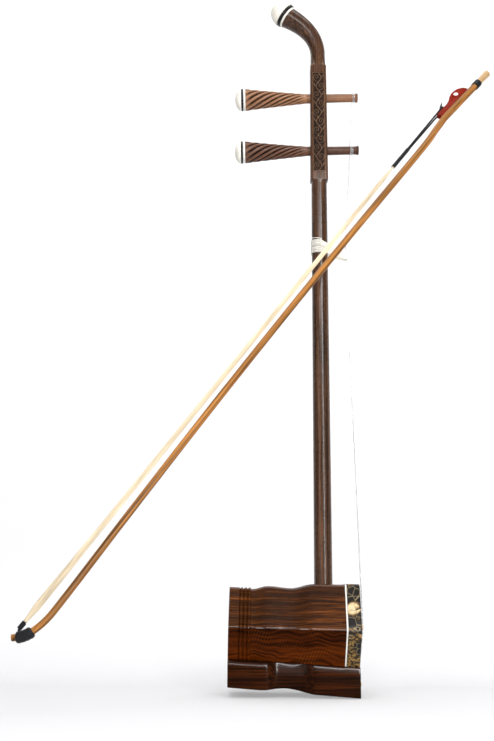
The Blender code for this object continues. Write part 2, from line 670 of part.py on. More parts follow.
# Strings
def wind_points(frame, radius, start, turns, side):
    """A winding that leaves its peg downwards, on the near or the far side."""
    points = []
    steps = 24 * turns
    for i in range(steps + 1):
        a = 2 * math.pi * (turns - i / 24)
        along = start + STRING_PITCH * (turns - i / 24)
        offset = Vector((0.0, side * radius * math.cos(a), radius * math.sin(a)))
        points.append(frame @ Vector((0.0, 0.0, along)) + offset)
    return points


def tail_points(side, x):
    """The loop that hooks the string's lower end on its pin."""
    radius = TAIL_PIN_R + FIT + STRING_R
    points = []
    for i in range(31):
        a = math.pi + 2 * math.pi * i / 24
        y = side * (TAIL_PIN_HALF + radius * math.cos(a))
        points.append(Vector((x + STRING_PITCH * i / 24, y, TAIL_PIN_Z + radius * math.sin(a))))
    return points


def string_over_bridge(res_frame):
    """Where a string crosses the bridge: its X and Z."""
    lift = RES_FRONT_X + BRIDGE_HEIGHT + 2 * FIT + STRING_R
    spot = res_frame.matrix_world @ Vector((lift, 0.0, BRIDGE_OFF_CENTRE))
    return spot.x, spot.z


def make_strings(upper_frame, lower_frame, res_frame):
    radius = PEG_STRING_R + FIT + STRING_R
    bridge_x, bridge_z = string_over_bridge(res_frame)
    tail_x = BASE_FRONT_X + FIT + 2 * STRING_R
    for name, frame, start, side in (
        ("inner_string", upper_frame.matrix_world, UPPER_WIND_X, 1),
        ("outer_string", lower_frame.matrix_world, LOWER_WIND_X, -1),
    ):
        points = wind_points(frame, radius, start, STRING_TURNS, side)
        gap = least_self_gap(points, STRING_R, 12)
        print(name, "least gap between turns (mm):", round(gap * 1000, 2))
        if side > 0:
            t = (points[-1].z - LOWER_PEG_Z) / (points[-1].z - LOOP_STRING_Z)
            x = points[-1].x + (LOOP_STRING_X - points[-1].x) * t
            points.append(Vector((x, radius, LOWER_PEG_Z)))
        points.append(Vector((LOOP_STRING_X, side * LOOP_STRING_HALF, LOOP_STRING_Z)))
        points.append(Vector((bridge_x, side * BRIDGE_STRING_HALF, bridge_z)))
        points += tail_points(side, tail_x)
        tube(name, points, STRING_R, STRING_STEEL)


def make_tail_pins(base):
    for side, name in ((1, "tail_pin_inner"), (-1, "tail_pin_outer")):
        at = Vector((BASE_FRONT_X, side * TAIL_PIN_HALF, TAIL_PIN_Z))
        neck_end = TAIL_PIN_OUT - TAIL_PIN_HEAD
        profile = [
            (0.0, TAIL_PIN_OUT), (TAIL_PIN_HEAD_R, TAIL_PIN_OUT), (TAIL_PIN_HEAD_R, neck_end),
            (TAIL_PIN_R, neck_end), (TAIL_PIN_R, -TAIL_PIN_IN), (0.0, -TAIL_PIN_IN),
        ]
        turned(name, profile, BRASS, None, aim(at, (1.0, 0.0, 0.0)), steps=12)
        inner = at - Vector((TAIL_PIN_IN + FIT, 0.0, 0.0))
        cut(base, rod_cutter(name + "_bore", TAIL_PIN_R + FIT, inner, at + Vector((TAIL_PIN_R, 0.0, 0.0))))


# Thread loop
def loop_turn(share):
    """A turn's plan: round the back of the neck, then round the strings in front."""
    neck_reach = neck_radius(LOOP_NECK_Z) + FIT + LOOP_CORD_R
    string_reach = LOOP_STRING_HALF + STRING_R + FIT + LOOP_CORD_R
    lean = math.acos((neck_reach - string_reach) / LOOP_STRING_X)
    if share < 0.6:
        a = lean + (2 * math.pi - 2 * lean) * share / 0.6
        return neck_reach * math.cos(a), neck_reach * math.sin(a)
    a = -lean + 2 * lean * (share - 0.65) / 0.3
    a = min(max(a, -lean), lean)
    return LOOP_STRING_X + string_reach * math.cos(a), string_reach * math.sin(a)


def make_thread_loop():
    """The thread that draws both strings towards the neck, wound on as one length."""
    points = []
    for i in range(24 * LOOP_TURNS + 15):
        turn = i / 24
        x, y = loop_turn(turn % 1.0)
        middle = turn - (LOOP_TURNS + 0.6) / 2
        front = min(max(x / LOOP_STRING_X, 0.0), 1.0)
        on_neck = LOOP_NECK_Z - middle * LOOP_NECK_PITCH
        on_strings = LOOP_STRING_Z - middle * LOOP_STRING_PITCH
        point = Vector((x, y, on_neck + (on_strings - on_neck) * front))
        if not points or (point - points[-1]).length > LOOP_CORD_R / 2:
            points.append(point)
    gap = least_self_gap(points, LOOP_CORD_R, 12)
    print("qianjin least gap between turns (mm):", round(gap * 1000, 2))
    tube("qianjin", points, LOOP_CORD_R, THREAD)


# Bow
BOW_ALONG = Vector((
    math.cos(BOW_RISE) * math.cos(BOW_TURN), math.cos(BOW_RISE) * math.sin(BOW_TURN), math.sin(BOW_RISE),
))
BOW_OUTWARD = Vector((math.sin(BOW_TURN), -math.cos(BOW_TURN), 0.0))
BOW_BELOW = BOW_ALONG.cross(BOW_OUTWARD)
BOW_ACROSS = BOW_BELOW * math.cos(BOW_ROLL) + BOW_OUTWARD * math.sin(BOW_ROLL)
BOW_NORMAL = BOW_ALONG.cross(BOW_ACROSS)
BOW_CROSSING = Vector((BOW_CROSS_X, 0.0, BOW_CROSS_Z))
# In the bow's frame, X is along the hair, Y from the hair to the stick
BOW_AXES = Matrix((BOW_ALONG, BOW_ACROSS, BOW_NORMAL)).transposed().to_4x4()
BOW_FRAME = Matrix.Translation(BOW_CROSSING) @ BOW_AXES
HANDLE_ALONG = Vector((math.cos(HANDLE_SLOPE), math.sin(HANDLE_SLOPE), 0.0))
HANDLE_IN = Vector((math.sin(HANDLE_SLOPE), -math.cos(HANDLE_SLOPE), 0.0))
HANDLE_ORIGIN = Vector((HANDLE_S, HANDLE_D, 0.0))
# In the handle's frame, X is towards the hair and Z along the handle
HANDLE_TURN = Matrix((HANDLE_IN, HANDLE_ALONG.cross(HANDLE_IN), HANDLE_ALONG)).transposed().to_4x4()
HANDLE_FRAME = BOW_FRAME @ Matrix.Translation(HANDLE_ORIGIN) @ HANDLE_TURN
# Lays a flat outline in the handle's plane: its X along the handle, its Y towards the hair
SIDE_ON = Matrix(((0, 1, 0, 0), (0, 0, 1, 0), (1, 0, 0, 0), (0, 0, 0, 1)))


def stick_points():
    """The stick's middle line: a smooth curve from the tip to the bend, then the straight handle."""
    path = smooth_path([(s, d, 0.0) for s, d in STICK_PATH], 4)
    return path + [HANDLE_ORIGIN + HANDLE_ALONG * HANDLE_LENGTH * t for t in (0.5, 1.0)]


def stick_radius(point):
    """The stick thickens a little to the middle, then more towards the handle."""
    first, bend = STICK_PATH[0][0], HANDLE_S
    t = (point.x - first) / (bend - first)
    if t < 0.6:
        return STICK_R_TIP + (STICK_R_MID - STICK_R_TIP) * max(t, 0.0) / 0.6
    return STICK_R_MID + (STICK_R_BUTT - STICK_R_MID) * min((t - 0.6) / 0.4, 1.0)


def sleeve(name, path, inner_radii, outer_radii, material, frame):
    """A hollow sleeve along a line in the frame's XY plane."""
    inner, outer = [], []
    for i, point in enumerate(path):
        along = (path[min(i + 1, len(path) - 1)] - path[max(i - 1, 0)]).normalized()
        side = Vector((-along.y, along.x, 0.0))
        for rings, radius in ((inner, inner_radii[i]), (outer, outer_radii[i])):
            spokes = circle(radius, count=16)
            rings.append([point + side * a + Vector((0.0, 0.0, b)) for a, b in spokes])
    return loft(name, outer + inner[::-1], material, frame, loop=True)


def make_bow_stick(frame):
    points = stick_points()
    radii = [stick_radius(point) for point in points]
    stick = as_mesh(tube("bow_stick", points, STICK_R_MID, REED, frame, radii, resolution=3))
    stick.data.shade_smooth()
    wrapped = [point for point in points if WRAP_FROM_S < point.x < WRAP_TO_S]
    inner = [stick_radius(point) + 2 * FIT for point in wrapped]
    sleeve("bow_tip_wrap", wrapped, inner, [WRAP_R] * len(wrapped), BLACK_CORD, frame)
    return stick


def hair_ring(s, half_wide, half_thick):
    """The hair's section: flat between the strings, upright and square to the bow's turn."""
    wide = Vector((0.0, math.cos(BOW_ROLL), math.sin(BOW_ROLL)))
    thick = Vector((0.0, math.sin(BOW_ROLL), -math.cos(BOW_ROLL)))
    spokes = circle(1.0, count=12)
    return [Vector((s, 0.0, 0.0)) + wide * half_wide * a + thick * half_thick * b for a, b in spokes]


def make_hair(frame):
    """One ribbon of hair, gathered round at both ends."""
    flat = (HAIR_HALF_WIDTH, HAIR_HALF_THICK)
    gathered = (HAIR_END_R, HAIR_END_R)
    stations = [
        (HAIR_TIP_S, gathered), (HAIR_TIP_S + HAIR_GATHER, flat), (0.0, flat),
        (BINDING_FROM_S - HAIR_GATHER, flat), (BINDING_FROM_S - FIT, gathered), (HAIR_FROG_S, gathered),
    ]
    loft("bow_hair", [hair_ring(s, *size) for s, size in stations], HAIR, frame)
    length = KNOT_TO_S - KNOT_FROM_S
    soft = KNOT_R * 0.7
    side = [(soft, length), (KNOT_R, length * 0.8), (KNOT_R, length * 0.2), (soft, 0.0)]
    knot = [(0.0, length), *side, (0.0, 0.0)]
    turned("hair_tip_knot", knot, BLACK_CORD, frame, aim((KNOT_FROM_S, 0.0, 0.0), (1.0, 0.0, 0.0)), steps=12)


def make_handle_end(stick, handle):
    """The band on the stick's end, and the button that turns the tension screw inside it."""
    inner = STICK_R_BUTT + FIT
    outer = inner + BAND_THICK
    front = HANDLE_LENGTH - BAND_LENGTH
    band = [(outer, HANDLE_LENGTH), (outer, front), (inner, front), (inner, HANDLE_LENGTH)]
    turned("bow_band", band, BLACK_CORD, handle, closed=True)
    bore_r = SCREW_R + FIT
    button_at = HANDLE_LENGTH + FIT
    button_end = button_at + BUTTON_LENGTH
    deep = button_at + SCREW_IN_BUTTON
    rim = BUTTON_R * 0.9
    button = [
        (0.0, button_end), (rim, button_end), (BUTTON_R, button_end - BUTTON_R + rim),
        (BUTTON_NECK_R, button_at), (bore_r, button_at), (bore_r, deep), (0.0, deep),
    ]
    turned("end_button", button, PALE_WOOD, handle)
    screw_end = deep - FIT
    screw = [(0.0, screw_end), (SCREW_R, screw_end), (SCREW_R, SCREW_FROM_U), (0.0, SCREW_FROM_U)]
    turned("tension_screw", screw, STEEL, handle, steps=12)
    start = (0.0, 0.0, SCREW_FROM_U - FIT)
    cut(stick, rod_cutter("screw_bore", bore_r, start, (0.0, 0.0, button_end), handle))
    slot_half = EYELET_HALF + FIT
    slot_from = EYELET_U - EYELET_HALF_LENGTH - FROG_TRAVEL - FIT
    slot_to = EYELET_U + EYELET_HALF_LENGTH + FIT
    depth = 2 * STICK_R_BUTT
    size = (depth, 2 * slot_half, slot_to - slot_from)
    middle = Matrix.Translation((depth / 2 - slot_half, 0.0, (slot_from + slot_to) / 2))
    cut(stick, box_cutter("eyelet_slot", size, middle, handle))


def make_frog(handle):
    top = STICK_R_BUTT - FROG_LIP
    outline = [(FROG_NOSE_U, FROG_NOSE_V), (FROG_NOSE_U, top), (FROG_BACK_U, top)]
    outline += [(point.x, point.y) for point in smooth_path([(u, v, 0.0) for u, v in FROG_PROFILE], 4)]
    frog = as_mesh(plate("frog", [outline], FROG_HALF_THICK, RED_FROG, handle, SIDE_ON))
    beyond = 2 * FROG_TRAVEL
    start, end = (0.0, 0.0, FROG_NOSE_U - beyond), (0.0, 0.0, FROG_BACK_U + beyond)
    cut(frog, rod_cutter("stick_clearance", STICK_R_BUTT + FIT, start, end, handle))
    recess = 2 * (EYELET_HALF + FIT)
    deep = 2 * (EYELET_DEPTH + FIT)
    size = (deep, recess, 2 * (EYELET_HALF_LENGTH + FIT))
    cut(frog, box_cutter("eyelet_recess", size, Matrix.Translation((0.0, 0.0, EYELET_U)), handle))
    for side, name in ((1, "near"), (-1, "far")):
        inner = side * (FROG_HALF_THICK - EYE_THICK)
        spot = Vector((EYE_V, inner, EYE_U))
        out = Vector((0.0, side, 0.0))
        eye = aim(spot, out)
        turned("frog_eye_" + name, disc_profile(EYE_R, EYE_THICK), PEARL, handle, eye)
        floor, mouth = spot - out * FIT, spot + out * 2 * EYE_THICK
        cut(frog, rod_cutter("eye_pocket_" + name, EYE_R + FIT, floor, mouth, handle))
    plate("frog_hook", [HOOK_PROFILE], HOOK_HALF_THICK, BLACK_HORN, handle, SIDE_ON)
    make_eyelet(handle)


def make_eyelet(handle):
    """The nut on the frog that the tension screw turns in."""
    block = [
        (-EYELET_HALF, -EYELET_HALF), (EYELET_DEPTH, -EYELET_HALF),
        (EYELET_DEPTH, EYELET_HALF), (-EYELET_HALF, EYELET_HALF),
    ]
    hole = circle(SCREW_R + FIT, count=16)
    middle = Matrix.Translation((0.0, 0.0, EYELET_U))
    plate("frog_eyelet", [block, hole], EYELET_HALF_LENGTH, BRASS, handle, middle)


def make_hair_fastening(bow_frame):
    """The binding that grips the hair, and the cord loop that hooks it on the frog."""
    start = Vector((BINDING_FROM_S, 0.0, 0.0))
    end = Vector((BINDING_TO_S, BINDING_END_D, 0.0))
    length = (end - start).length
    profile = [
        (0.0, length), (BINDING_R_LOOP, length), (BINDING_R_HAIR, 0.0),
        (BINDING_BORE_R, 0.0), (BINDING_BORE_R, BINDING_BORE), (0.0, BINDING_BORE),
    ]
    turned("hair_binding", profile, BLACK_CORD, bow_frame, aim(start, end - start), steps=16)
    out_and_back = []
    hook_at = HANDLE_ORIGIN + HANDLE_ALONG * CORD_U + HANDLE_IN * CORD_V
    from_binding = end + (end - start).normalized() * FIT
    for i in range(13):
        a = math.pi * i / 12
        bend = HANDLE_ALONG * CORD_HALF * math.sin(a)
        out_and_back.append(hook_at + bend - Vector((0.0, 0.0, CORD_HALF * math.cos(a))))
    first = from_binding - Vector((0.0, 0.0, CORD_START_HALF))
    last = from_binding + Vector((0.0, 0.0, CORD_START_HALF))
    tube("hair_loop", [first, *out_and_back, last], CORD_R, BLACK_CORD, bow_frame, resolution=2)


def make_instrument():
    res_frame, staves, wave = make_resonator()
    base = make_base(res_frame, wave)
    neck = make_neck()
    make_head_trim()
    hole_r = NECK_R_LOW + FIT
    through = rod_cutter("neck_hole", hole_r, (0.0, 0.0, NECK_FOOT_Z - FIT), (0.0, 0.0, SQUARE_Z))
    for piece in (base, staves[0], staves[3]):
        cut(piece, through)
    make_tail_pins(base)
    upper = make_peg("upper_peg", UPPER_PEG_Z, UPPER_PEG_WOOD, neck)
    lower = make_peg("lower_peg", LOWER_PEG_Z, LOWER_PEG_WOOD, neck)
    make_strings(upper, lower, res_frame)
    make_thread_loop()


def make_bow():
    frame = empty("bow_frame", BOW_FRAME)
    handle = empty("bow_handle_axis", HANDLE_FRAME)
    stick = make_bow_stick(frame)
    make_hair(frame)
    make_handle_end(stick, handle)
    make_frog(handle)
    make_hair_fastening(frame)


make_instrument()
make_bow()
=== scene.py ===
"""Erhu with its bow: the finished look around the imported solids."""

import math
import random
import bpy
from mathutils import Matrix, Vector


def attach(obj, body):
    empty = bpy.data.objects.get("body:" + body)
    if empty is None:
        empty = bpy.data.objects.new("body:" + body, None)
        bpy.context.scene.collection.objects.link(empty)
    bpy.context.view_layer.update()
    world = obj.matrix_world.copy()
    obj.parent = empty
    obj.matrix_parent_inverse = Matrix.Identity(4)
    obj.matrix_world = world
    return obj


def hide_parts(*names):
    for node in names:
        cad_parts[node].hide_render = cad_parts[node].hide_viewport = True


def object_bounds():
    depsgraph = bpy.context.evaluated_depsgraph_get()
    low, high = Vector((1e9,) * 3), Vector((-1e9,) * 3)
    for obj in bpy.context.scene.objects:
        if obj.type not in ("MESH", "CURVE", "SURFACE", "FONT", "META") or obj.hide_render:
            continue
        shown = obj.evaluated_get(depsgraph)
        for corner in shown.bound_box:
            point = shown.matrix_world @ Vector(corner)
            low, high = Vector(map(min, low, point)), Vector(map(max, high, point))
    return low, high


bl_info = {
    "name": "Erhu and bow",
    "version": (1, 0, 0),
    "blender": (4, 5, 0),
    "location": "3D View > Sidebar > Erhu",
    "description": "Dresses the packed erhu with turned, carved and wound pieces and their finishes",
    "category": "Object",
}

import bmesh
import bpy
from bpy.props import FloatProperty, FloatVectorProperty, IntProperty, PointerProperty
from mathutils import Matrix, Vector

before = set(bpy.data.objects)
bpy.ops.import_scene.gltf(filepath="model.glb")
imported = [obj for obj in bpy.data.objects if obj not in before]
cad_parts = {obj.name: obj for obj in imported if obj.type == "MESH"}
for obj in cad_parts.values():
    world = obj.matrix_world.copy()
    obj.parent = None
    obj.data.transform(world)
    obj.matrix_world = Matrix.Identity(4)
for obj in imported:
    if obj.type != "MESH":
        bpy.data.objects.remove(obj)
CAD_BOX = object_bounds()

# Clearance between pieces that touch, as in the solids
FIT = 0.0003
# Tops of the cuts that the neck goes through, in the staves and in the base
STAVE_BORE_TOP, BASE_BORE_TOP = 0.2, 0.1
SIN60 = math.sin(math.radians(60))
TAN30 = math.tan(math.radians(30))

# Resonator, measured along its axis from the back rim
RES_LENGTH, RES_BACK_X = 0.1322, -0.0980
RES_TILT = math.radians(1.2)
RES_FRAME = Matrix.Translation((0.0, 0.0, 0.0634)) @ Matrix.Rotation(RES_TILT, 4, "Y")
INNER_BACK, INNER_FRONT = 0.0318, 0.0372
RIM_HALF, RIM_LENGTH, GROOVE_HALF = 0.0396, 0.0105, 0.0380
BEADS, BEAD_PITCH, BEAD_RISE = 3, 0.0040, 0.0016
CREST_AT, CREST_HALF = 0.0400, 0.0414
TROUGH_AT, TROUGH_HALF = 0.0630, 0.0398
SHOULDER_AT, SHOULDER_HALF = 0.0880, 0.0447
REBATE_AT, REBATE_DEPTH, REBATE_STEP = 0.1165, 0.0006, 0.0002
INLAY_WIDTH, INLAY_PROUD = 0.0018, 0.0003
SKIN_THICK, SKIN_ROUND = 0.0012, 0.0014
SKIN_AT = REBATE_AT + INLAY_WIDTH + 2 * FIT
SKIN_INNER = SHOULDER_HALF - REBATE_DEPTH + FIT
SKIN_OUTER = SKIN_INNER + SKIN_THICK
# Shift of the grain from stave to stave, and how little it changes with depth
GRAIN_APART, GRAIN_DEPTH = 0.31, 0.12
# Steps round a stave's edge
EDGE_STEPS = 5
# Where a stave's rounded edge begins, as a share of its half width, and the polish of worn edges
EDGE_FROM, EDGE_POLISH = 0.91, 0.9
STAVES = ("top", "upper_near", "lower_near", "bottom", "lower_far", "upper_far")

# Base
BASE_BACK_X, BASE_FRONT_X = -0.0986, 0.0336
BASE_HALF_WIDTH, BASE_WAIST, BASE_ROUND, CRADLE_RISE = 0.0352, 0.0042, 0.0026, 0.0092
BASE_SLOPE = math.tan(math.radians(4.3))
ARCH_BACK_X, ARCH_FRONT_X, ARCH_RISE = -0.0680, -0.0100, 0.0034
SCOOP_BACK_X, SCOOP_FRONT_X, SCOOP_END = -0.0610, -0.0110, 0.0130
BASE_SOFT, SCOOP_SOFT, BASE_BEVEL, BASE_SECTIONS = 0.0070, 0.0130, 0.0012, 64
PIN_R, PIN_HEAD_R, PIN_HEAD, PIN_OUT, PIN_IN = 0.0014, 0.0024, 0.0008, 0.0036, 0.0100
PIN_HALF, PIN_Z = 0.0046, 0.0090

# Neck and head
NECK_FOOT_Z, NECK_TAPER_Z, SQUARE_Z, SQUARE_TOP_Z = 0.0070, 0.1100, 0.5540, 0.6922
NECK_R_LOW, NECK_R_HIGH = 0.0096, 0.0087
SQUARE_HALF_LOW, SQUARE_HALF_TOP, SQUARE_HALF_DEEP = 0.0100, 0.0092, 0.0088
# Powers of the neck's outline where it is round and where it is square, and the step between them
ROUND, SQUARE, SQUARE_STEP = 2.0, 8.0, 0.0024
PANEL_MARGIN, PANEL_DEPTH, PANEL_HALF = 0.0085, 0.0006, 0.0071
PANEL_LOW, PANEL_HIGH = SQUARE_Z + PANEL_MARGIN, SQUARE_TOP_Z - PANEL_MARGIN
# Carved vine: across in shares of the panel's reach, up in shares of a bend's height
VINE_R, BORDER_IN, STEM_SWING = 0.00032, 0.0007, 0.5
TENDRIL = (
    (0.0, -0.50), (-0.55, -0.40), (-0.95, -0.12), (-0.88, 0.18), (-0.52, 0.30), (-0.15, 0.20),
    (-0.10, -0.02), (-0.40, -0.12), (-0.58, 0.02), (-0.42, 0.10),
)
LEAF = ((0.48, -0.06), (0.70, 0.04), (0.88, 0.20), (0.94, 0.40))
BUD = ((0.34, 0.26), (0.14, 0.34), (-0.06, 0.36))
HEAD_THROAT = Vector((0.0, 0.0, 0.7080))
HEAD_BEND = Vector((0.0, 0.0, 0.7370))
HEAD_END = Vector((-0.0336, 0.0, 0.7560))
HEAD_TILT = math.radians(40)
HEAD_AXIS = Vector((-math.cos(HEAD_TILT), 0.0, math.sin(HEAD_TILT)))
HEAD_THROAT_R, HEAD_END_R, HEAD_RING_PROUD = 0.0084, 0.0122, 0.0009
HEAD_WHITE, HEAD_BLACK, HEAD_CAP, HEAD_CAP_R = 0.0022, 0.0032, 0.0165, 0.0146
HEAD_WHITE_SOFT, HEAD_BLACK_SOFT = 0.0006, 0.0009

# Pegs, measured along their axes from the neck
PEG_TILT = math.radians(1.4)
PEG_AXIS = Vector((math.cos(PEG_TILT), 0.0, math.sin(PEG_TILT)))
UPPER_PEG_Z, LOWER_PEG_Z = 0.6545, 0.5901
PEG_HANDLE_END, PEG_HANDLE_R, PEG_WAIST, PEG_WAIST_R = 0.0836, 0.0124, 0.0128, 0.0053
PEG_SHAFT_R, PEG_STRING_R, PEG_STRING_END = 0.0050, 0.0046, 0.0452
PEG_COLLAR_R, PEG_COLLAR_LENGTH = 0.0053, 0.0026
PEG_WHITE, PEG_BLACK, PEG_CAP = 0.0019, 0.0024, 0.0066
PEG_WHITE_SOFT, PEG_BLACK_SOFT, PEG_RING_PROUD, PEG_CAP_IN = 0.0005, 0.0007, 0.0002, 0.0004
# Share of a flute's depth that keeps the wood's plain colour: shallower gets a painted highlight, deeper a
# painted shade
PLAIN_GROOVE = 0.25

# Strings and thread loop
STRING_R, STRING_TURNS, STRING_PITCH = 0.00028, 3, 0.00105
UPPER_WIND_X, LOWER_WIND_X = 0.0389, 0.0356
LOOP_X, LOOP_Z, LOOP_STRING_HALF, LOOP_NECK_Z = 0.0280, 0.4640, 0.0016, 0.4750
LOOP_NECK_HIGH, LOOP_STRING_HIGH, LOOSE_RISE = 0.0140, 0.0062, 0.0034
# Shares of a thread's turn: behind the neck, where it reaches the strings, and round them
LOOP_BACK, LOOP_FRONT_FROM, LOOP_FRONT = 0.6, 0.65, 0.3
# Points in a turn, in a string's turn at its pin and in the thread's last part of a turn
TURN_POINTS, HOOK_POINTS, LAST_POINTS = 32, 41, 20
# How unevenly the thread lies, in turns, and the lift of its second layer, in radii
UNEVEN, LAYER_LIFT = 0.4, 1.7
# Where the thread's loose end starts round the neck and how far it goes, in degrees
LOOSE_FROM, LOOSE_TURN = -80, -95
BRIDGE_HEIGHT, BRIDGE_STRING_HALF, BRIDGE_OFF_CENTRE = 0.0052, 0.0032, 0.0020

# Bow: S is along the hair from the strings, D from the hair to the stick
BOW_TURN, BOW_RISE, BOW_ROLL = math.radians(28.5), math.radians(51.0), math.radians(45.0)
BOW_ALONG = Vector((
    math.cos(BOW_RISE) * math.cos(BOW_TURN), math.cos(BOW_RISE) * math.sin(BOW_TURN), math.sin(BOW_RISE),
))
BOW_OUTWARD = Vector((math.sin(BOW_TURN), -math.cos(BOW_TURN), 0.0))
BOW_BELOW = BOW_ALONG.cross(BOW_OUTWARD)
BOW_ACROSS = BOW_BELOW * math.cos(BOW_ROLL) + BOW_OUTWARD * math.sin(BOW_ROLL)
BOW_NORMAL = BOW_ALONG.cross(BOW_ACROSS)
BOW_FRAME = Matrix.Translation((0.0293, 0.0, 0.5011)) @ (
    Matrix((BOW_ALONG, BOW_ACROSS, BOW_NORMAL)).transposed().to_4x4()
)
HAIR_TIP_S, HAIR_FROG_S, HAIR_HALF_WIDTH, HAIR_HALF_THICK = -0.5490, 0.1115, 0.0026, 0.0009
HAIR_END_R, HAIR_GATHER, HAIR_FULL, HAIR_FULL_HALF = 0.0011, 0.0300, 0.1200, 0.0034
STICK_R_TIP, STICK_R_MID, STICK_R_BUTT = 0.0031, 0.0036, 0.0041
HANDLE_S, HANDLE_D, HANDLE_SLOPE, HANDLE_LENGTH = 0.2113, 0.0128, math.radians(4.5), 0.0775
STICK_PATH = (
    (-0.5663, 0.0000), (-0.5605, 0.0072), (-0.5524, 0.0120), (-0.5380, 0.0156), (-0.5200, 0.0162),
    (-0.4760, 0.0153), (-0.4117, 0.0137), (-0.2713, 0.0116), (-0.1286, 0.0113), (0.0000, 0.0125),
    (0.1480, 0.0150), (0.1850, 0.0138), (HANDLE_S, HANDLE_D),
)
WRAP_FROM_S, WRAP_TO_S, WRAP_R = -0.5640, -0.5520, 0.0054
WRAP_LAPS, WRAP_LAP, WRAP_END = 4.5, 0.0005, 0.0010
KNOT_FROM_S, KNOT_TO_S, KNOT_R = -0.5568, -0.5493, 0.0024
KNOT_THREAD, KNOT_PITCH = 0.00042, 0.0008
BINDING_FROM_S, BINDING_TO_S, BINDING_END_D, BINDING_R = 0.1073, 0.1433, 0.0006, 0.0023
BINDING_BORE_R, BINDING_BORE = 0.0018, 0.0140
# How much narrower the visible bore is, and how far the binding's thread sinks into its sleeve
BINDING_LINING, BINDING_SINK = 0.0002, 0.0001

# Handle end: U is along the handle, V from its axis towards the hair
HANDLE_ALONG = Vector((math.cos(HANDLE_SLOPE), math.sin(HANDLE_SLOPE), 0.0))
HANDLE_IN = Vector((math.sin(HANDLE_SLOPE), -math.cos(HANDLE_SLOPE), 0.0))
HANDLE_ORIGIN = Vector((HANDLE_S, HANDLE_D, 0.0))
HANDLE_FRAME = BOW_FRAME @ Matrix.Translation(HANDLE_ORIGIN) @ (
    Matrix((HANDLE_IN, HANDLE_ALONG.cross(HANDLE_IN), HANDLE_ALONG)).transposed().to_4x4()
)
BAND_LENGTH, BAND_THICK = 0.0095, 0.0005
SLOT_SIZE, SLOT_AT = (0.0082, 0.0048, 0.0128), (0.0017, 0.0, 0.0279)
SCREW_BORE_R, SCREW_BORE_FROM, SCREW_BORE_TO = 0.0015, 0.0197, 0.1
SCREW_FROM, SCREW_R, SCREW_PITCH, SCREW_RIDGE = 0.0200, 0.0012, 0.0007, 0.00022
BUTTON_LENGTH, BUTTON_R, BUTTON_NECK_R = 0.0205, 0.0044, 0.0035
BUTTON_SOFT, BUTTON_BORE = 0.0009, 0.008
FROG_HALF_THICK = 0.0030
EYE_U, EYE_V, EYE_R, EYE_THICK, EYE_SOFT = 0.0425, 0.0106, 0.0029, 0.0010, 0.0003
CORD_R, CORD_FULL, CORD_U, CORD_V = 0.0008, 1.3, 0.0126, 0.0116
CORD_HALF, CORD_START_HALF = 0.0026, 0.0013

# Stage: the gap under the part, and the paper's curve, half width, height, near edge and glow
FLOOR_GAP, SWEEP_R = 0.0002, 0.16
PAPER_HALF, PAPER_TALL, PAPER_NEAR, PAPER_GLOW = 1.6, 2.4, -1.8, 0.24
STAGE_MIDDLE = (0.0, 0.0, 0.35)
# Each lamp's place, what it faces, its width and its height
LAMPS = {
    "key": ((0.10, -1.25, 0.88), STAGE_MIDDLE, 1.1, 0.3),
    "strip": ((0.44, -1.20, 0.45), STAGE_MIDDLE, 0.10, 1.2),
    "fill": ((-1.0, -1.3, 0.55), STAGE_MIDDLE, 0.4, 1.3),
    "top": ((-0.05, -0.30, 1.75), (-0.03, 0.0, 0.0), 1.3, 0.45),
}


class ErhuSizes(bpy.types.PropertyGroup):
    """Sizes of the visible detail."""

    corner: FloatProperty(
        name="Corner rounding", description="Radius of the resonator's long edges",
        default=0.0042, unit="LENGTH",
    )
    flute_depth: FloatProperty(
        name="Flute depth", description="Depth of the twisted flutes on the pegs",
        default=0.0018, unit="LENGTH",
    )
    flutes: IntProperty(name="Flutes", description="Flutes round a peg's handle", default=10, min=4)
    flute_twist: FloatProperty(
        name="Flute twist", description="Turn of the flutes along the handle",
        default=math.radians(-300), subtype="ANGLE",
    )
    thread_turns: IntProperty(name="Thread turns", description="Turns of the thread loop", default=14, min=3)
    thread_radius: FloatProperty(
        name="Thread radius", description="Radius of the loop's thread", default=0.00038, unit="LENGTH",
    )
    hair_strands: IntProperty(
        name="Hair strands", description="Strands of hair that are modelled", default=64, min=8,
    )
    hair_radius: FloatProperty(
        name="Strand radius", description="Radius of a modelled strand", default=0.0002, unit="LENGTH",
    )
    binding_pitch: FloatProperty(
        name="Binding pitch", description="Distance between the binding's turns",
        default=0.0008, unit="LENGTH",
    )
    ornaments: IntProperty(name="Ornaments", description="Scrolls carved along a panel", default=11, min=1)


def color_property(name, description, default):
    return FloatVectorProperty(
        name=name, description=description, default=default, size=3, subtype="COLOR", min=0.0, max=1.0,
    )


class ErhuColors(bpy.types.PropertyGroup):
    """Main colours of the finishes."""

    resonator: color_property("Resonator", "Wood of the upper staves", (0.080, 0.0224, 0.0034))
    figured: color_property("Figured stave", "Curly wood of the lower staves", (0.050, 0.0094, 0.0009))
    base: color_property("Base", "Wood of the base", (0.024, 0.0056, 0.0009))
    neck: color_property("Neck", "Wood of the neck and head", (0.068, 0.029, 0.0130))
    upper_peg: color_property("Upper peg", "Wood of the upper peg", (0.195, 0.092, 0.045))
    lower_peg: color_property("Lower peg", "Wood of the lower peg", (0.080, 0.034, 0.018))
    reed: color_property("Reed", "Reed of the bow's stick", (0.300, 0.122, 0.026))
    frog: color_property("Frog", "Red lacquered frog", (0.190, 0.011, 0.003))
    hair: color_property("Hair", "Horsehair", (0.730, 0.610, 0.430))
    bone: color_property("Bone", "Caps on the head and pegs", (0.860, 0.815, 0.720))


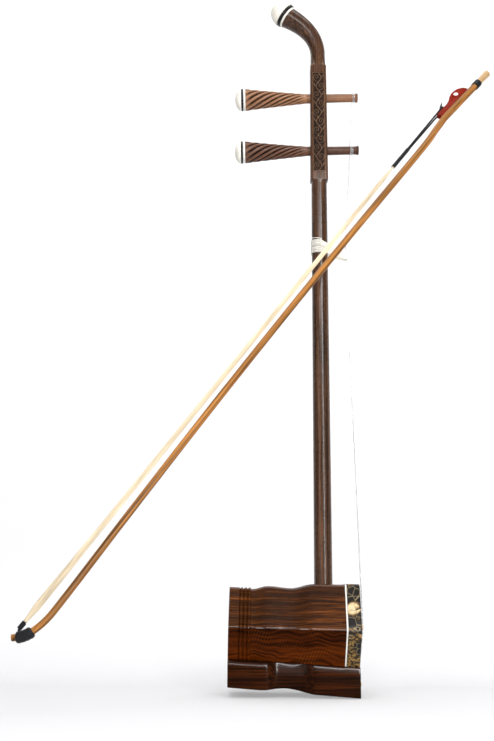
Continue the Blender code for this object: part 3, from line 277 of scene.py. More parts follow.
class ErhuStage(bpy.types.PropertyGroup):
    """Camera and light."""

    lens: FloatProperty(name="Lens", description="Focal length on a 36 mm tall frame", default=50.0)
    camera_at: FloatVectorProperty(
        name="Camera", description="Where the camera stands",
        default=(-0.0804, -1.094, 0.1065), subtype="XYZ",
    )
    camera_tilt: FloatProperty(
        name="Camera tilt", description="How far the camera looks up",
        default=math.radians(11.8), subtype="ANGLE",
    )
    camera_roll: FloatProperty(
        name="Camera roll", description="Turn about the line of sight",
        default=math.radians(0.25), subtype="ANGLE",
    )
    backdrop_y: FloatProperty(
        name="Backdrop", description="How far behind the neck the backdrop stands",
        default=0.26, unit="LENGTH",
    )
    key_energy: FloatProperty(name="Key light", description="Power of the key light in watts", default=9.5)
    strip_energy: FloatProperty(
        name="Strip light", description="Power of the strip light in watts", default=13.0,
    )
    fill_energy: FloatProperty(name="Fill light", description="Power of the fill light in watts", default=3.8)
    top_energy: FloatProperty(name="Top light", description="Power of the top light in watts", default=8.5)
    world_strength: FloatProperty(name="World", description="Strength of the pale surroundings", default=0.30)


def quarter(steps):
    """Angles of a quarter turn, in so many steps."""
    return [math.pi / 2 * i / steps for i in range(steps + 1)]


# Shapes
def ease(a, b, t):
    return a + (b - a) * (0.5 - 0.5 * math.cos(math.pi * t))


def sweep(rings, loop=False):
    """A skin drawn through rings of points, each one extruded from the ring before."""
    bm = bmesh.new()
    verts = [bm.verts.new(point) for point in rings[0]]
    edges = [bm.edges.new(pair) for pair in zip(verts, verts[1:] + verts[:1])]
    first = edges
    for ring in rings[1:]:
        made = bmesh.ops.extrude_edge_only(bm, edges=edges)["geom"]
        fresh = {item for item in made if isinstance(item, bmesh.types.BMVert)}
        verts = [next(e.other_vert(v) for e in v.link_edges if e.other_vert(v) in fresh) for v in verts]
        for vert, point in zip(verts, ring):
            vert.co = point
        edges = [bm.edges.get(pair) for pair in zip(verts, verts[1:] + verts[:1])]
    if loop:
        bmesh.ops.bridge_loops(bm, edges=first + edges)
    else:
        bmesh.ops.contextual_create(bm, geom=first)
        bmesh.ops.contextual_create(bm, geom=edges)
    return bm


def round_path(points, per_span):
    """Points on a smooth curve through the given ones."""
    points = [Vector(point) for point in points]
    padded = [2 * points[0] - points[1], *points, 2 * points[-1] - points[-2]]
    path = []
    for a, b, c, d in zip(padded, padded[1:], padded[2:], padded[3:]):
        for i in range(per_span):
            t = i / per_span
            square = 2 * a - 5 * b + 4 * c - d
            cube = 3 * b - a - 3 * c + d
            path.append(0.5 * (2 * b + (c - a) * t + square * t ** 2 + cube * t ** 3))
    return path + [points[-1]]


def tube_rings(points, radii, sides):
    """Rings round a line, each turned no more than the line turns."""
    points = [Vector(point) for point in points]
    side = (points[1] - points[0]).orthogonal().normalized()
    rings = []
    for i, (point, radius) in enumerate(zip(points, radii)):
        along = (points[min(i + 1, len(points) - 1)] - points[max(i - 1, 0)]).normalized()
        side = (side - along * side.dot(along)).normalized()
        up = along.cross(side)
        angles = [2 * math.pi * k / sides for k in range(sides)]
        rings.append([point + (side * math.cos(a) + up * math.sin(a)) * radius for a in angles])
    return rings


def tube(points, radius, sides=10):
    radii = radius if isinstance(radius, list) else [radius] * len(points)
    return sweep(tube_rings(points, radii, sides))


def joined(parts):
    """Several meshes as one."""
    whole = bmesh.new()
    for part in parts:
        mesh = bpy.data.meshes.new("part")
        part.to_mesh(mesh)
        part.free()
        whole.from_mesh(mesh)
        bpy.data.meshes.remove(mesh)
    return whole


def aim(at, along):
    """A frame at a point, with Z along a direction."""
    return Matrix.Translation(at) @ Vector(along).to_track_quat("Z", "Y").to_matrix().to_4x4()


def turned(profile, place, steps=48, closed=False):
    """A profile of radius and height, spun about the place's Z."""
    bm = bmesh.new()
    verts = [bm.verts.new((radius, 0.0, height)) for radius, height in profile]
    pairs = list(zip(verts, verts[1:]))
    if closed:
        pairs.append((verts[-1], verts[0]))
    edges = [bm.edges.new(pair) for pair in pairs]
    bmesh.ops.spin(
        bm, geom=verts + edges, cent=(0, 0, 0), axis=(0, 0, 1), angle=2 * math.pi, steps=steps,
        use_merge=True,
    )
    bmesh.ops.remove_doubles(bm, verts=bm.verts, dist=1e-6)
    bmesh.ops.transform(bm, matrix=place, verts=bm.verts)
    return bm


def rim(radius, thick, soft):
    """The profile of a disc on its flat side, with rounded edges."""
    inner = radius - soft
    top = [(inner + soft * math.sin(a), thick - soft + soft * math.cos(a)) for a in quarter(4)]
    bottom = [(inner + soft * math.cos(a), soft - soft * math.sin(a)) for a in quarter(4)]
    return [(0.0, thick), *top, *bottom, (0.0, 0.0)]


def dome(radius, height):
    """The profile of a dome on its flat side."""
    return [(radius * math.sin(a), height * math.cos(a)) for a in quarter(14)] + [(0.0, 0.0)]


def wound(start, along, length, core, thread, pitch, per_turn=14):
    """A thread wound closely round a core."""
    place = aim(start, along)
    points = []
    for i in range(int(length / pitch * per_turn) + 1):
        a = 2 * math.pi * i / per_turn
        points.append(place @ Vector((core * math.cos(a), core * math.sin(a), pitch * i / per_turn)))
    return tube(points, thread, 6)


def eased(node, bevel, segments=3):
    """A copy of a CAD node's mesh, merged, with its edges eased."""
    bm = bmesh.new()
    bm.from_mesh(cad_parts[node].data)
    bmesh.ops.remove_doubles(bm, verts=bm.verts, dist=1e-6)
    bmesh.ops.dissolve_limit(bm, angle_limit=math.radians(2), verts=bm.verts, edges=bm.edges)
    sharp = [e for e in bm.edges if e.is_manifold and e.calc_face_angle() > math.radians(35)]
    bmesh.ops.bevel(
        bm, geom=sharp, offset=bevel, offset_type="OFFSET", segments=segments, profile=0.5,
        affect="EDGES", clamp_overlap=True, material=-1,
    )
    return bm


def finished(bm, name, body, look, nodes=(), sharp=38.0):
    """A bmesh as a named piece on its body, standing for its CAD nodes."""
    bmesh.ops.remove_doubles(bm, verts=bm.verts, dist=1e-7)
    bmesh.ops.recalc_face_normals(bm, faces=bm.faces)
    mesh = bpy.data.meshes.new(name)
    bm.to_mesh(mesh)
    bm.free()
    mesh.shade_smooth()
    mesh.set_sharp_from_angle(angle=math.radians(sharp))
    mesh.materials.append(finish(look))
    piece = bpy.data.objects.new(name, mesh)
    bpy.context.scene.collection.objects.link(piece)
    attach(piece, body)
    if nodes:
        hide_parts(*nodes)


def dress(bm, node, body, look, sharp=38.0):
    """A bmesh as the piece that stands for one CAD node."""
    finished(bm, node + "_dressed", body, look, [node], sharp)


def drilled(bm, cutters):
    """A mesh with other closed meshes cut out of it."""
    objects = []
    for source in [bm, *cutters]:
        bmesh.ops.recalc_face_normals(source, faces=source.faces)
        mesh = bpy.data.meshes.new("blank")
        source.to_mesh(mesh)
        source.free()
        blank = bpy.data.objects.new("blank", mesh)
        bpy.context.scene.collection.objects.link(blank)
        objects.append(blank)
    for cutter in objects[1:]:
        bore = objects[0].modifiers.new("bore", "BOOLEAN")
        bore.object = cutter
        bore.solver = "EXACT"
    result = objects[0].evaluated_get(bpy.context.evaluated_depsgraph_get())
    cut = bmesh.new()
    cut.from_mesh(result.to_mesh())
    result.to_mesh_clear()
    for blank in objects:
        mesh = blank.data
        bpy.data.objects.remove(blank)
        bpy.data.meshes.remove(mesh)
    return cut


def rod(start, end, radius, sides=40):
    start, end = Vector(start), Vector(end)
    bm = bmesh.new()
    bmesh.ops.create_cone(
        bm, cap_ends=True, segments=sides, radius1=radius, radius2=radius, depth=(end - start).length,
    )
    bmesh.ops.transform(bm, matrix=aim((start + end) / 2, end - start), verts=bm.verts)
    return bm


# Finishes
class Graph:
    """A node tree with short calls for its nodes and links."""

    def __init__(self, tree):
        self.tree = tree

    def add(self, kind, inputs=None, **values):
        node = self.tree.nodes.new("ShaderNode" + kind)
        for name, value in values.items():
            setattr(node, name, value)
        self.fill(node, inputs or {})
        return node

    def put(self, value, socket):
        if isinstance(value, bpy.types.NodeSocket):
            self.tree.links.new(value, socket)
        else:
            socket.default_value = value

    def fill(self, node, inputs):
        for name, value in inputs.items():
            self.put(value, node.inputs[name])

    def math(self, operation, a, b):
        return self.add("Math", {0: a, 1: b}, operation=operation).outputs[0]

    def times(self, a, b):
        return self.math("MULTIPLY", a, b)

    def mix(self, share, a, b, blend="MIX"):
        return self.add("Mix", {0: share, 6: a, 7: b}, data_type="RGBA", blend_type=blend).outputs[2]

    def ramp(self, share, stops):
        node = self.add("ValToRGB", {"Fac": share})
        elements = node.color_ramp.elements
        while len(elements) < len(stops):
            elements.new(0.5)
        for element, (place, color) in zip(elements, stops):
            element.position = place
            element.color = color
        return node.outputs["Color"]

    def span(self, value, low, high, to_low, to_high):
        inputs = {"Value": value, "From Min": low, "From Max": high, "To Min": to_low, "To Max": to_high}
        return self.add("MapRange", inputs).outputs["Result"]

    def noise(self, vector, scale, detail=3.0, rough=0.5, distortion=0.0):
        inputs = {"Vector": vector, "Scale": scale, "Detail": detail, "Roughness": rough}
        return self.add("TexNoise", {**inputs, "Distortion": distortion}).outputs["Fac"]

    def stretched(self, vector, sizes):
        return self.add("VectorMath", {0: vector, 1: sizes}, operation="MULTIPLY").outputs[0]

    def kept(self, name, output):
        return self.add("Attribute", None, attribute_name=name).outputs[output]

    def place(self, turn=(0.0, 0.0, 0.0)):
        coordinates = self.add("TexCoord").outputs["Object"]
        return self.add("Mapping", {"Vector": coordinates, "Rotation": turn}).outputs[0]

    def bump(self, height, strength, distance):
        inputs = {"Height": height, "Strength": strength, "Distance": distance}
        return self.add("Bump", inputs).outputs["Normal"]

    def effect(self, make, inputs):
        """A shared effect's outputs, by name."""
        node = self.add("Group", None)
        node.node_tree = make()
        self.fill(node, inputs)
        return node.outputs


def shared_group(name, inputs, outputs):
    """A new node group with its sockets and its two end nodes."""
    tree = bpy.data.node_groups.new(name, "ShaderNodeTree")
    for socket, kind in inputs:
        tree.interface.new_socket(name=socket, in_out="INPUT", socket_type=kind)
    for socket, kind in outputs:
        tree.interface.new_socket(name=socket, in_out="OUTPUT", socket_type=kind)
    return tree, tree.nodes.new("NodeGroupInput"), tree.nodes.new("NodeGroupOutput")


def long_grain():
    """Streaks, pores and slow drift of a wood whose grain runs along X."""
    known = bpy.data.node_groups.get("Long grain")
    if known:
        return known
    number, vector = "NodeSocketFloat", "NodeSocketVector"
    tree, ins, outs = shared_group(
        "Long grain", [("Vector", vector), ("Fineness", number)],
        [("Streak", number), ("Line", number), ("Pores", number), ("Drift", number)],
    )
    graph = Graph(tree)
    place, fineness = ins.outputs["Vector"], ins.outputs["Fineness"]
    wander = graph.add("TexNoise", {"Vector": place, "Scale": 14.0, "Detail": 2.0}).outputs["Color"]
    sway = {0: wander, 1: (0.0018, 0.0018, 0.0018), 2: place}
    bent = graph.add("VectorMath", sway, operation="MULTIPLY_ADD").outputs[0]
    along = graph.stretched(bent, (0.015, 1.0, 1.0))
    broad = graph.noise(along, graph.times(fineness, 0.3), 4.0, 0.6)
    fine = graph.noise(along, fineness, 3.0, 0.6)
    pores = graph.noise(graph.stretched(place, (0.09, 1.0, 1.0)), 1500.0, 1.0)
    line = graph.noise(graph.stretched(along, (0.6, 1.0, 1.0)), graph.times(fineness, 1.5), 1.0)
    graph.fill(outs, {
        "Line": graph.span(line, 0.50, 0.60, 0.0, 1.0),
        "Streak": graph.math("ADD", graph.times(broad, 0.55), graph.times(fine, 0.45)),
        "Pores": graph.span(pores, 0.60, 0.70, 0.0, 1.0),
        "Drift": graph.noise(graph.stretched(place, (0.5, 1.0, 1.0)), 26.0, 2.0),
    })
    return tree


def surface_wear():
    """Faint handling marks: a soft mottle and fine scuffs."""
    known = bpy.data.node_groups.get("Surface wear")
    if known:
        return known
    number, vector = "NodeSocketFloat", "NodeSocketVector"
    tree, ins, outs = shared_group(
        "Surface wear", [("Vector", vector), ("Scale", number)], [("Mottle", number), ("Scuff", number)],
    )
    graph = Graph(tree)
    place, scale = ins.outputs["Vector"], ins.outputs["Scale"]
    fine = graph.noise(place, graph.times(scale, 9.0), 2.0)
    graph.fill(outs, {
        "Mottle": graph.noise(place, scale, 4.0, 0.6), "Scuff": graph.span(fine, 0.35, 0.75, 0.0, 1.0),
    })
    return tree


def shade(color, share):
    return (*[min(channel * share, 1.0) for channel in color], 1.0)


def started(name):
    material = bpy.data.materials.new(name)
    material.use_nodes = True
    return material, Graph(material.node_tree), material.node_tree.nodes["Principled BSDF"]


def made(name, build):
    """A finish by its name, built once."""
    return bpy.data.materials.get(name) or build(name)


def wood(color, turn=(0.0, 0.0, 0.0), fineness=420.0, gloss=0.34, contrast=1.0, lines=0.5, groove_shading=False,
         shine=0.14, coat=0.05, coat_rough=0.12, stave=False, edged=0.0):
    """Polished wood with its grain along X before the turn; on fluted pegs, painted shade down in the flutes
    and a painted highlight on the ridges.
    """
    def build(name):
        material, graph, shader = started(name)
        place = graph.kept("grain", "Vector") if stave else graph.place(turn)
        grain = graph.effect(long_grain, {"Vector": place, "Fineness": fineness})
        wear = graph.effect(surface_wear, {"Vector": place, "Scale": 120.0})
        dark, light = 1 - 0.5 * contrast, 1 + 0.6 * contrast
        tone = graph.ramp(grain["Streak"], [
            (0.40, shade(color, dark)), (0.50, shade(color, 1.0)), (0.61, shade(color, light)),
        ])
        drift = graph.span(grain["Drift"], 0.3, 0.7, 0.68, 1.3)
        tone = graph.mix(1.0, tone, drift, "MULTIPLY")
        tone = graph.mix(graph.times(grain["Line"], lines), tone, shade(color, 0.22))
        tone = graph.mix(graph.times(grain["Pores"], 0.5), tone, shade(color, 0.3))
        if stave:
            dash = graph.noise(graph.stretched(place, (0.08, 1.0, 1.0)), 480.0, 2.0, 0.6)
            tone = graph.mix(graph.span(dash, 0.47, 0.60, 0.0, 0.7), tone, shade(color, 0.25))
        # Painted light on fluted pegs: ridges lightened as a painted highlight, flute bottoms darkened as
        # painted shade
        if groove_shading:
            depth = graph.kept("flute_shading", "Fac")
            tone = graph.mix(graph.span(depth, 0.0, PLAIN_GROOVE, 0.5, 0.0), tone, shade(color, 2.2))
            tone = graph.mix(graph.span(depth, PLAIN_GROOVE, 0.65, 0.0, 0.95), tone, shade(color, 0.08))
        height = graph.math("SUBTRACT", graph.times(grain["Streak"], 0.5), grain["Pores"])
        polish(graph, shader, tone, wear["Mottle"], gloss, height, shine, coat, coat_rough, edged)
        return material
    return build


def polish(graph, shader, tone, mottle, gloss, height, shine, coat=0.0, coat_rough=0.12, edged=0.0):
    """Oiled wood's even sheen, with faint marks. Worn edges get a coat, whose index is given."""
    if edged:
        coat = graph.span(graph.kept("edge", "Fac"), 0.0, 1.0, coat, EDGE_POLISH)
        graph.fill(shader, {"Coat IOR": edged})
    graph.fill(shader, {
        "Base Color": tone, "Roughness": graph.math("ADD", graph.times(mottle, 0.16), gloss - 0.08),
        "Specular IOR Level": shine, "Coat Weight": coat, "Coat Roughness": coat_rough,
        "Normal": graph.bump(height, 0.22, 0.00012),
    })


def figured(color):
    """Wood with wavy contour lines and a curl across them, with painted bounce light from the floor that
    makes it paler towards the base.
    """
    def build(name):
        material, graph, shader = started(name)
        place = graph.kept("grain", "Vector")
        grain = graph.effect(long_grain, {"Vector": place, "Fineness": 700.0})
        wear = graph.effect(surface_wear, {"Vector": place, "Scale": 120.0})
        hills = graph.noise(graph.stretched(place, (1.0, 0.4, 0.4)), 34.0, 1.5)
        lift = graph.add("CombineXYZ", {1: graph.times(hills, 0.022)}).outputs[0]
        bent = graph.add("VectorMath", {0: place, 1: lift}, operation="ADD").outputs[0]
        contour = graph.noise(graph.stretched(bent, (0.05, 1.0, 1.0)), 330.0, 2.0, 0.5)
        slant = {"Vector": place, "Rotation": (0.0, 0.0, math.radians(16))}
        slanted = graph.add("Mapping", slant).outputs[0]
        ripple = graph.add("TexWave", {
            "Vector": slanted, "Scale": 115.0, "Distortion": 4.0, "Detail": 2.0, "Detail Scale": 0.35,
        }, bands_direction="X").outputs["Fac"]
        patchy = graph.noise(graph.stretched(place, (0.7, 1.0, 1.0)), 48.0, 2.0)
        patchy = graph.span(patchy, 0.40, 0.62, 0.05, 1.0)
        tone = graph.ramp(contour, [
            (0.39, shade(color, 0.25)), (0.49, shade(color, 0.85)), (0.61, shade(color, 1.6)),
        ])
        amber = (color[0] * 2.6, color[1] * 3.0, color[2] * 2.2, 1.0)
        tone = graph.mix(graph.times(graph.times(ripple, patchy), 0.5), tone, amber)
        # Painted bounce light: the colour is raised low down near the floor and lowered towards the upper
        # edge
        low = graph.add("SeparateXYZ", {0: graph.place()}).outputs["Z"]
        tone = graph.mix(1.0, tone, graph.span(low, 0.030, 0.062, 1.5, 0.6), "MULTIPLY")
        tone = graph.mix(graph.times(grain["Line"], 0.45), tone, shade(color, 0.25))
        polish(graph, shader, tone, wear["Mottle"], 0.28, contour, 0.03)
        return material
    return build


def mottled(color, rough, low, high, scale, bump, metal=0.0, coat=0.0, sheen=0.0, shine=0.5):
    """Bone, horn, lacquer, metal or leather: a mottle in colour, gloss and surface."""
    def build(name):
        material, graph, shader = started(name)
        wear = graph.effect(surface_wear, {"Vector": graph.place(), "Scale": scale})
        graph.fill(shader, {
            "Base Color": graph.ramp(wear["Mottle"], [(0.3, shade(color, low)), (0.7, shade(color, high))]),
            "Roughness": graph.span(wear["Scuff"], 0.0, 1.0, rough - 0.06, rough + 0.08),
            "Metallic": metal, "Specular IOR Level": shine, "Coat Weight": coat, "Sheen Weight": sheen,
            "Normal": graph.bump(wear["Scuff"], bump, 0.0001),
        })
        return material
    return build


def fibrous(color, turn, rough, fineness, low, high, sheen):
    """Hair or reed: fine fibres along X before the turn."""
    def build(name):
        material, graph, shader = started(name)
        place = graph.place(turn)
        fibres = graph.noise(graph.stretched(place, (0.02, 1.0, 1.0)), fineness, 3.0, 0.6)
        slow = graph.noise(graph.stretched(place, (0.3, 1.0, 1.0)), 30.0, 2.0)
        tone = graph.ramp(fibres, [(0.34, shade(color, low)), (0.66, shade(color, high))])
        graph.fill(shader, {
            "Base Color": graph.mix(1.0, tone, graph.span(slow, 0.3, 0.7, 0.82, 1.15), "MULTIPLY"),
            "Roughness": graph.span(fibres, 0.3, 0.7, rough - 0.06, rough + 0.1),
            "Specular IOR Level": 0.2, "Sheen Weight": sheen, "Normal": graph.bump(fibres, 0.3, 0.0001),
        })
        return material
    return build


def snakeskin(name):
    """Python skin: rows of scales, black with cream edges, in patches of cream and gold."""
    material, graph, shader = started(name)
    plain = graph.place()
    place = graph.place((math.radians(38), 0.0, 0.0))
    cells = {"Vector": graph.stretched(place, (0.8, 1.0, 0.72)), "Scale": 165.0, "Randomness": 0.5}
    edge = graph.add("TexVoronoi", cells, feature="DISTANCE_TO_EDGE").outputs["Distance"]
    cell = graph.add("TexVoronoi", cells, feature="F1").outputs["Color"]
    each = graph.span(graph.add("SeparateColor", {0: cell}).outputs[0], 0.0, 1.0, -0.07, 0.07)
    patch = graph.math("ADD", graph.noise(place, 34.0, 3.0, 0.55, 0.6), each)
    spot = graph.add("VectorMath", {0: plain, 1: (0.027, -0.038, 0.083)}, operation="DISTANCE")
    near_spot = graph.span(spot.outputs["Value"], 0.006, 0.014, 0.29, 0.0)
    patch = graph.math("ADD", graph.math("SUBTRACT", patch, 0.165), near_spot)
    scale = graph.ramp(patch, [
        (0.50, (0.008, 0.007, 0.006, 1.0)), (0.56, (0.050, 0.028, 0.012, 1.0)),
        (0.585, (0.38, 0.25, 0.11, 1.0)), (0.64, (0.63, 0.51, 0.30, 1.0)),
    ])
    down = graph.span(graph.add("SeparateXYZ", {0: plain}).outputs["Z"], 0.030, 0.066, 0.14, 0.0)
    gold = graph.math("ADD", graph.noise(place, 52.0, 2.0), down)
    warm = graph.times(graph.span(gold, 0.55, 0.63, 0.0, 1.0), 0.75)
    fleck = graph.noise(place, 430.0, 2.0)
    tint = graph.ramp(fleck, [(0.43, (0.012, 0.008, 0.004, 1.0)), (0.57, (0.33, 0.19, 0.05, 1.0))])
    scale = graph.mix(warm, scale, tint)
    seam = graph.span(edge, 0.008, 0.028, 1.0, 0.0)
    pale = graph.ramp(patch, [(0.40, (0.34, 0.26, 0.14, 1.0)), (0.58, (0.16, 0.09, 0.035, 1.0))])
    pale = graph.mix(graph.times(warm, 1.3), pale, (0.02, 0.012, 0.006, 1.0))
    graph.fill(shader, {
        "Base Color": graph.mix(seam, scale, pale), "Roughness": graph.span(seam, 0.0, 1.0, 0.30, 0.62),
        "Specular IOR Level": 0.2, "Coat Weight": 0.1,
        "Normal": graph.bump(graph.span(edge, 0.0, 0.2, 0.0, 1.0), 0.5, 0.0003),
    })
    return material


def pearl(name):
    """Shell disc with slow pink and green clouds."""
    material, graph, shader = started(name)
    clouds = graph.noise(graph.stretched(graph.place(), (1.0, 0.4, 1.0)), 420.0, 2.0, 0.5, 1.2)
    tone = graph.ramp(clouds, [
        (0.3, (0.78, 0.46, 0.44, 1.0)), (0.48, (0.86, 0.74, 0.66, 1.0)), (0.62, (0.58, 0.72, 0.66, 1.0)),
    ])
    gloss = graph.span(clouds, 0.3, 0.7, 0.16, 0.3)
    graph.fill(shader, {"Base Color": tone, "Roughness": gloss, "Coat Weight": 0.6})
    return material


UPRIGHT_GRAIN = (0.0, math.radians(90), 0.0)
BOW_GRAIN = tuple(BOW_FRAME.to_3x3().inverted().to_euler())


def finish(name):
    """A named finish of this instrument."""
    colors = bpy.context.scene.erhu_colors
    staves = {"fineness": 760.0, "gloss": 0.3}
    pegs = {"fineness": 520.0, "gloss": 0.26, "contrast": 0.6, "lines": 0.2, "groove_shading": True, "shine": 0.2}
    kinds = {
        "Dark wood": wood(
            colors.resonator, contrast=1.6, lines=0.9, coat=0.015, stave=True, edged=2.0, **staves,
        ),
        "Window wood": wood(colors.resonator, contrast=1.5, lines=0.85, **staves),
        "Figured wood": figured(colors.figured),
        "Base wood": wood(
            colors.base, fineness=620.0, gloss=0.32, contrast=1.4, lines=0.8, shine=0.03, coat=0.02,
            coat_rough=0.2, edged=1.5,
        ),
        "Neck wood": wood(
            colors.neck, UPRIGHT_GRAIN, 700.0, gloss=0.28, contrast=1.4, lines=0.75, shine=0.2, coat=0.22,
            coat_rough=0.14,
        ),
        "Sunk panel": wood((0.020, 0.010, 0.006), UPRIGHT_GRAIN, 800.0, gloss=0.45, shine=0.05, coat=0.0),
        "Carved ornament": wood((0.150, 0.084, 0.048), UPRIGHT_GRAIN, 800.0, gloss=0.36, contrast=0.6),
        "Upper peg wood": wood(colors.upper_peg, **pegs),
        "Lower peg wood": wood(colors.lower_peg, **pegs),
        "Pale wood": wood((0.52, 0.34, 0.17), BOW_GRAIN, 640.0, gloss=0.5, contrast=0.6, lines=0.2),
        "Reed": fibrous(colors.reed, BOW_GRAIN, 0.36, 420.0, 0.3, 1.5, 0.0),
        "Horsehair": fibrous(colors.hair, BOW_GRAIN, 0.5, 1500.0, 0.6, 1.15, 0.05),
        "Bone": mottled(colors.bone, 0.38, 0.88, 1.06, 90.0, 0.08, coat=0.2),
        "White inlay": mottled((0.80, 0.78, 0.72), 0.36, 0.9, 1.06, 140.0, 0.06, coat=0.2),
        "Black horn": mottled((0.006, 0.005, 0.005), 0.3, 0.7, 1.6, 150.0, 0.1, shine=0.2),
        "Red lacquer": mottled(colors.frog, 0.26, 0.72, 1.25, 110.0, 0.05, shine=0.04),
        "Steel": mottled((0.62, 0.62, 0.63), 0.28, 0.88, 1.06, 260.0, 0.06, metal=1.0),
        "Brass": mottled((0.66, 0.47, 0.19), 0.34, 0.85, 1.1, 260.0, 0.06, metal=1.0),
        "Thread": mottled((0.88, 0.85, 0.77), 0.72, 0.86, 1.06, 700.0, 0.4, sheen=0.3),
        "Black cord": mottled((0.006, 0.005, 0.006), 0.6, 0.6, 1.7, 500.0, 0.4, shine=0.25),
        "Black leather": mottled((0.006, 0.006, 0.007), 0.46, 0.6, 1.8, 420.0, 0.5, shine=0.25),
        "Snakeskin": snakeskin,
        "Pearl": pearl,
    }
    return made(name, kinds[name])


# Resonator
def wave_outline():
    """Place along the resonator and half the distance across flats, along a stave's outside."""
    stations = [
        (0.0, RIM_HALF - FIT), (FIT, RIM_HALF),
        (RIM_LENGTH - FIT, RIM_HALF - FIT), (RIM_LENGTH, GROOVE_HALF),
    ]
    for bead in range(BEADS):
        for i in range(1, 9):
            along = RIM_LENGTH + (bead + i / 8) * BEAD_PITCH
            stations.append((along, GROOVE_HALF + BEAD_RISE * math.sin(math.pi * i / 8)))
    turns = [stations[-1], (CREST_AT, CREST_HALF), (TROUGH_AT, TROUGH_HALF), (SHOULDER_AT, SHOULDER_HALF)]
    for (s0, half0), (s1, half1) in zip(turns, turns[1:]):
        for i in range(1, 13):
            stations.append((s0 + (s1 - s0) * i / 12, ease(half0, half1, i / 12)))
    return stations + [(REBATE_AT, SHOULDER_HALF)]


def facet_point(facet, across, out, along):
    turn = math.radians(60 * facet)
    y = across * math.cos(turn) - out * math.sin(turn)
    z = across * math.sin(turn) + out * math.cos(turn)
    return RES_FRAME @ Vector((RES_BACK_X + along, y, z))


def edge_arc(half, corner):
    """Across and outward places of a facet's rounded edge, from the flat to the mitre."""
    middle = half - corner
    arc = [math.radians(30) * i / EDGE_STEPS for i in range(EDGE_STEPS + 1)]
    return [(middle * TAN30 + corner * math.sin(a), middle + corner * math.cos(a)) for a in arc]


def stave_ring(facet, along, half, corner):
    inner = INNER_BACK + (INNER_FRONT - INNER_BACK) * along / RES_LENGTH
    gap = FIT / 2 / SIN60
    arc = edge_arc(half, corner)
    right = [(across - gap * i / EDGE_STEPS, out) for i, (across, out) in enumerate(arc)]
    right.append((inner * TAN30 - gap, inner))
    ring = right + [(-across, out) for across, out in right[::-1]]
    return [facet_point(facet, across, out, along) for across, out in ring]


def hexagon(along, half, corner):
    """A hexagon with rounded corners across the resonator's axis."""
    side = edge_arc(half, corner)
    ring = []
    for facet in range(6):
        whole = [(-across, out) for across, out in side[:0:-1]] + side[:-1]
        ring += [facet_point(-facet, across, out, along) for across, out in whole]
    return ring


def follow_stave(bm, facet):
    """Keep each point's place along, across and out of its stave, for grain that follows the stave."""
    grain = bm.verts.layers.float_vector.new("grain")
    edge = bm.verts.layers.float.new("edge")
    level = Matrix.Rotation(math.radians(-60 * facet), 4, "X") @ RES_FRAME.inverted()
    for vert in bm.verts:
        spot = level @ vert.co
        vert[grain] = (spot.x, spot.y + GRAIN_APART * facet, spot.z * GRAIN_DEPTH)
        near = abs(spot.y) / spot.z / TAN30
        vert[edge] = min(max((near - EDGE_FROM) / (1 - EDGE_FROM), 0.0), 1.0)


def make_resonator():
    sizes = bpy.context.scene.erhu_sizes
    rebate = SHOULDER_HALF - REBATE_DEPTH
    outline = wave_outline() + [(REBATE_AT + REBATE_STEP, rebate), (RES_LENGTH - SKIN_THICK - FIT, rebate)]
    for facet, name in enumerate(STAVES):
        bm = sweep([stave_ring(facet, along, half, sizes.corner) for along, half in outline])
        if name in ("top", "bottom"):
            bm = drilled(bm, [rod((0, 0, 0), (0, 0, STAVE_BORE_TOP), NECK_R_LOW + FIT)])
        follow_stave(bm, facet)
        look = "Figured wood" if name.startswith("lower") else "Dark wood"
        dress(bm, "stave_" + name, "instrument", look)
    back = REBATE_AT + REBATE_STEP + FIT
    front = back + INLAY_WIDTH - REBATE_STEP
    proud, soft = SHOULDER_HALF + INLAY_PROUD, INLAY_PROUD
    inlay = [
        (back, SKIN_INNER), (back, proud - soft), (back + soft, proud),
        (front - soft, proud), (front, proud - soft), (front, SKIN_INNER),
    ]
    rings = [hexagon(along, half, sizes.corner) for along, half in inlay]
    dress(sweep(rings, loop=True), "front_inlay", "instrument", "White inlay")
    skin = [
        (RES_LENGTH - SKIN_THICK, SKIN_INNER), (SKIN_AT, SKIN_INNER),
        (SKIN_AT, SKIN_OUTER - FIT), (SKIN_AT + FIT, SKIN_OUTER),
    ]
    flat, wide = RES_LENGTH - SKIN_ROUND, SKIN_OUTER - SKIN_ROUND
    skin += [(flat + SKIN_ROUND * math.sin(a), wide + SKIN_ROUND * math.cos(a)) for a in quarter(5)]
    rings = [hexagon(along, half, sizes.corner) for along, half in skin]
    dress(sweep(rings), "snakeskin", "instrument", "Snakeskin")
    dress(eased("sound_window", 0.0006), "sound_window", "instrument", "Window wood")
    dress(eased("bridge", 0.0005), "bridge", "instrument", "Pale wood")


# Base
def waist_share(x):
    t = (x - ARCH_BACK_X) / (ARCH_FRONT_X - ARCH_BACK_X)
    return math.sin(math.pi * min(max(t, 0.0), 1.0)) ** 2


def seat_half(x, outline):
    """Half the distance across the resonator's flats where it rests on the base."""
    along = x - RES_BACK_X
    for (s0, half0), (s1, half1) in zip(outline, outline[1:]):
        if s0 <= along <= s1:
            return half0 + (half1 - half0) * (along - s0) / max(s1 - s0, FIT)
    return outline[0][1] if along < 0 else outline[-1][1]


def scoop_share(x):
    """How far into the carved waist a point is: steep at its ends and even between them."""
    ends = min(x - SCOOP_BACK_X, SCOOP_FRONT_X - x) / SCOOP_END
    return ease(0.0, 1.0, min(max(ends, 0.0), 1.0))


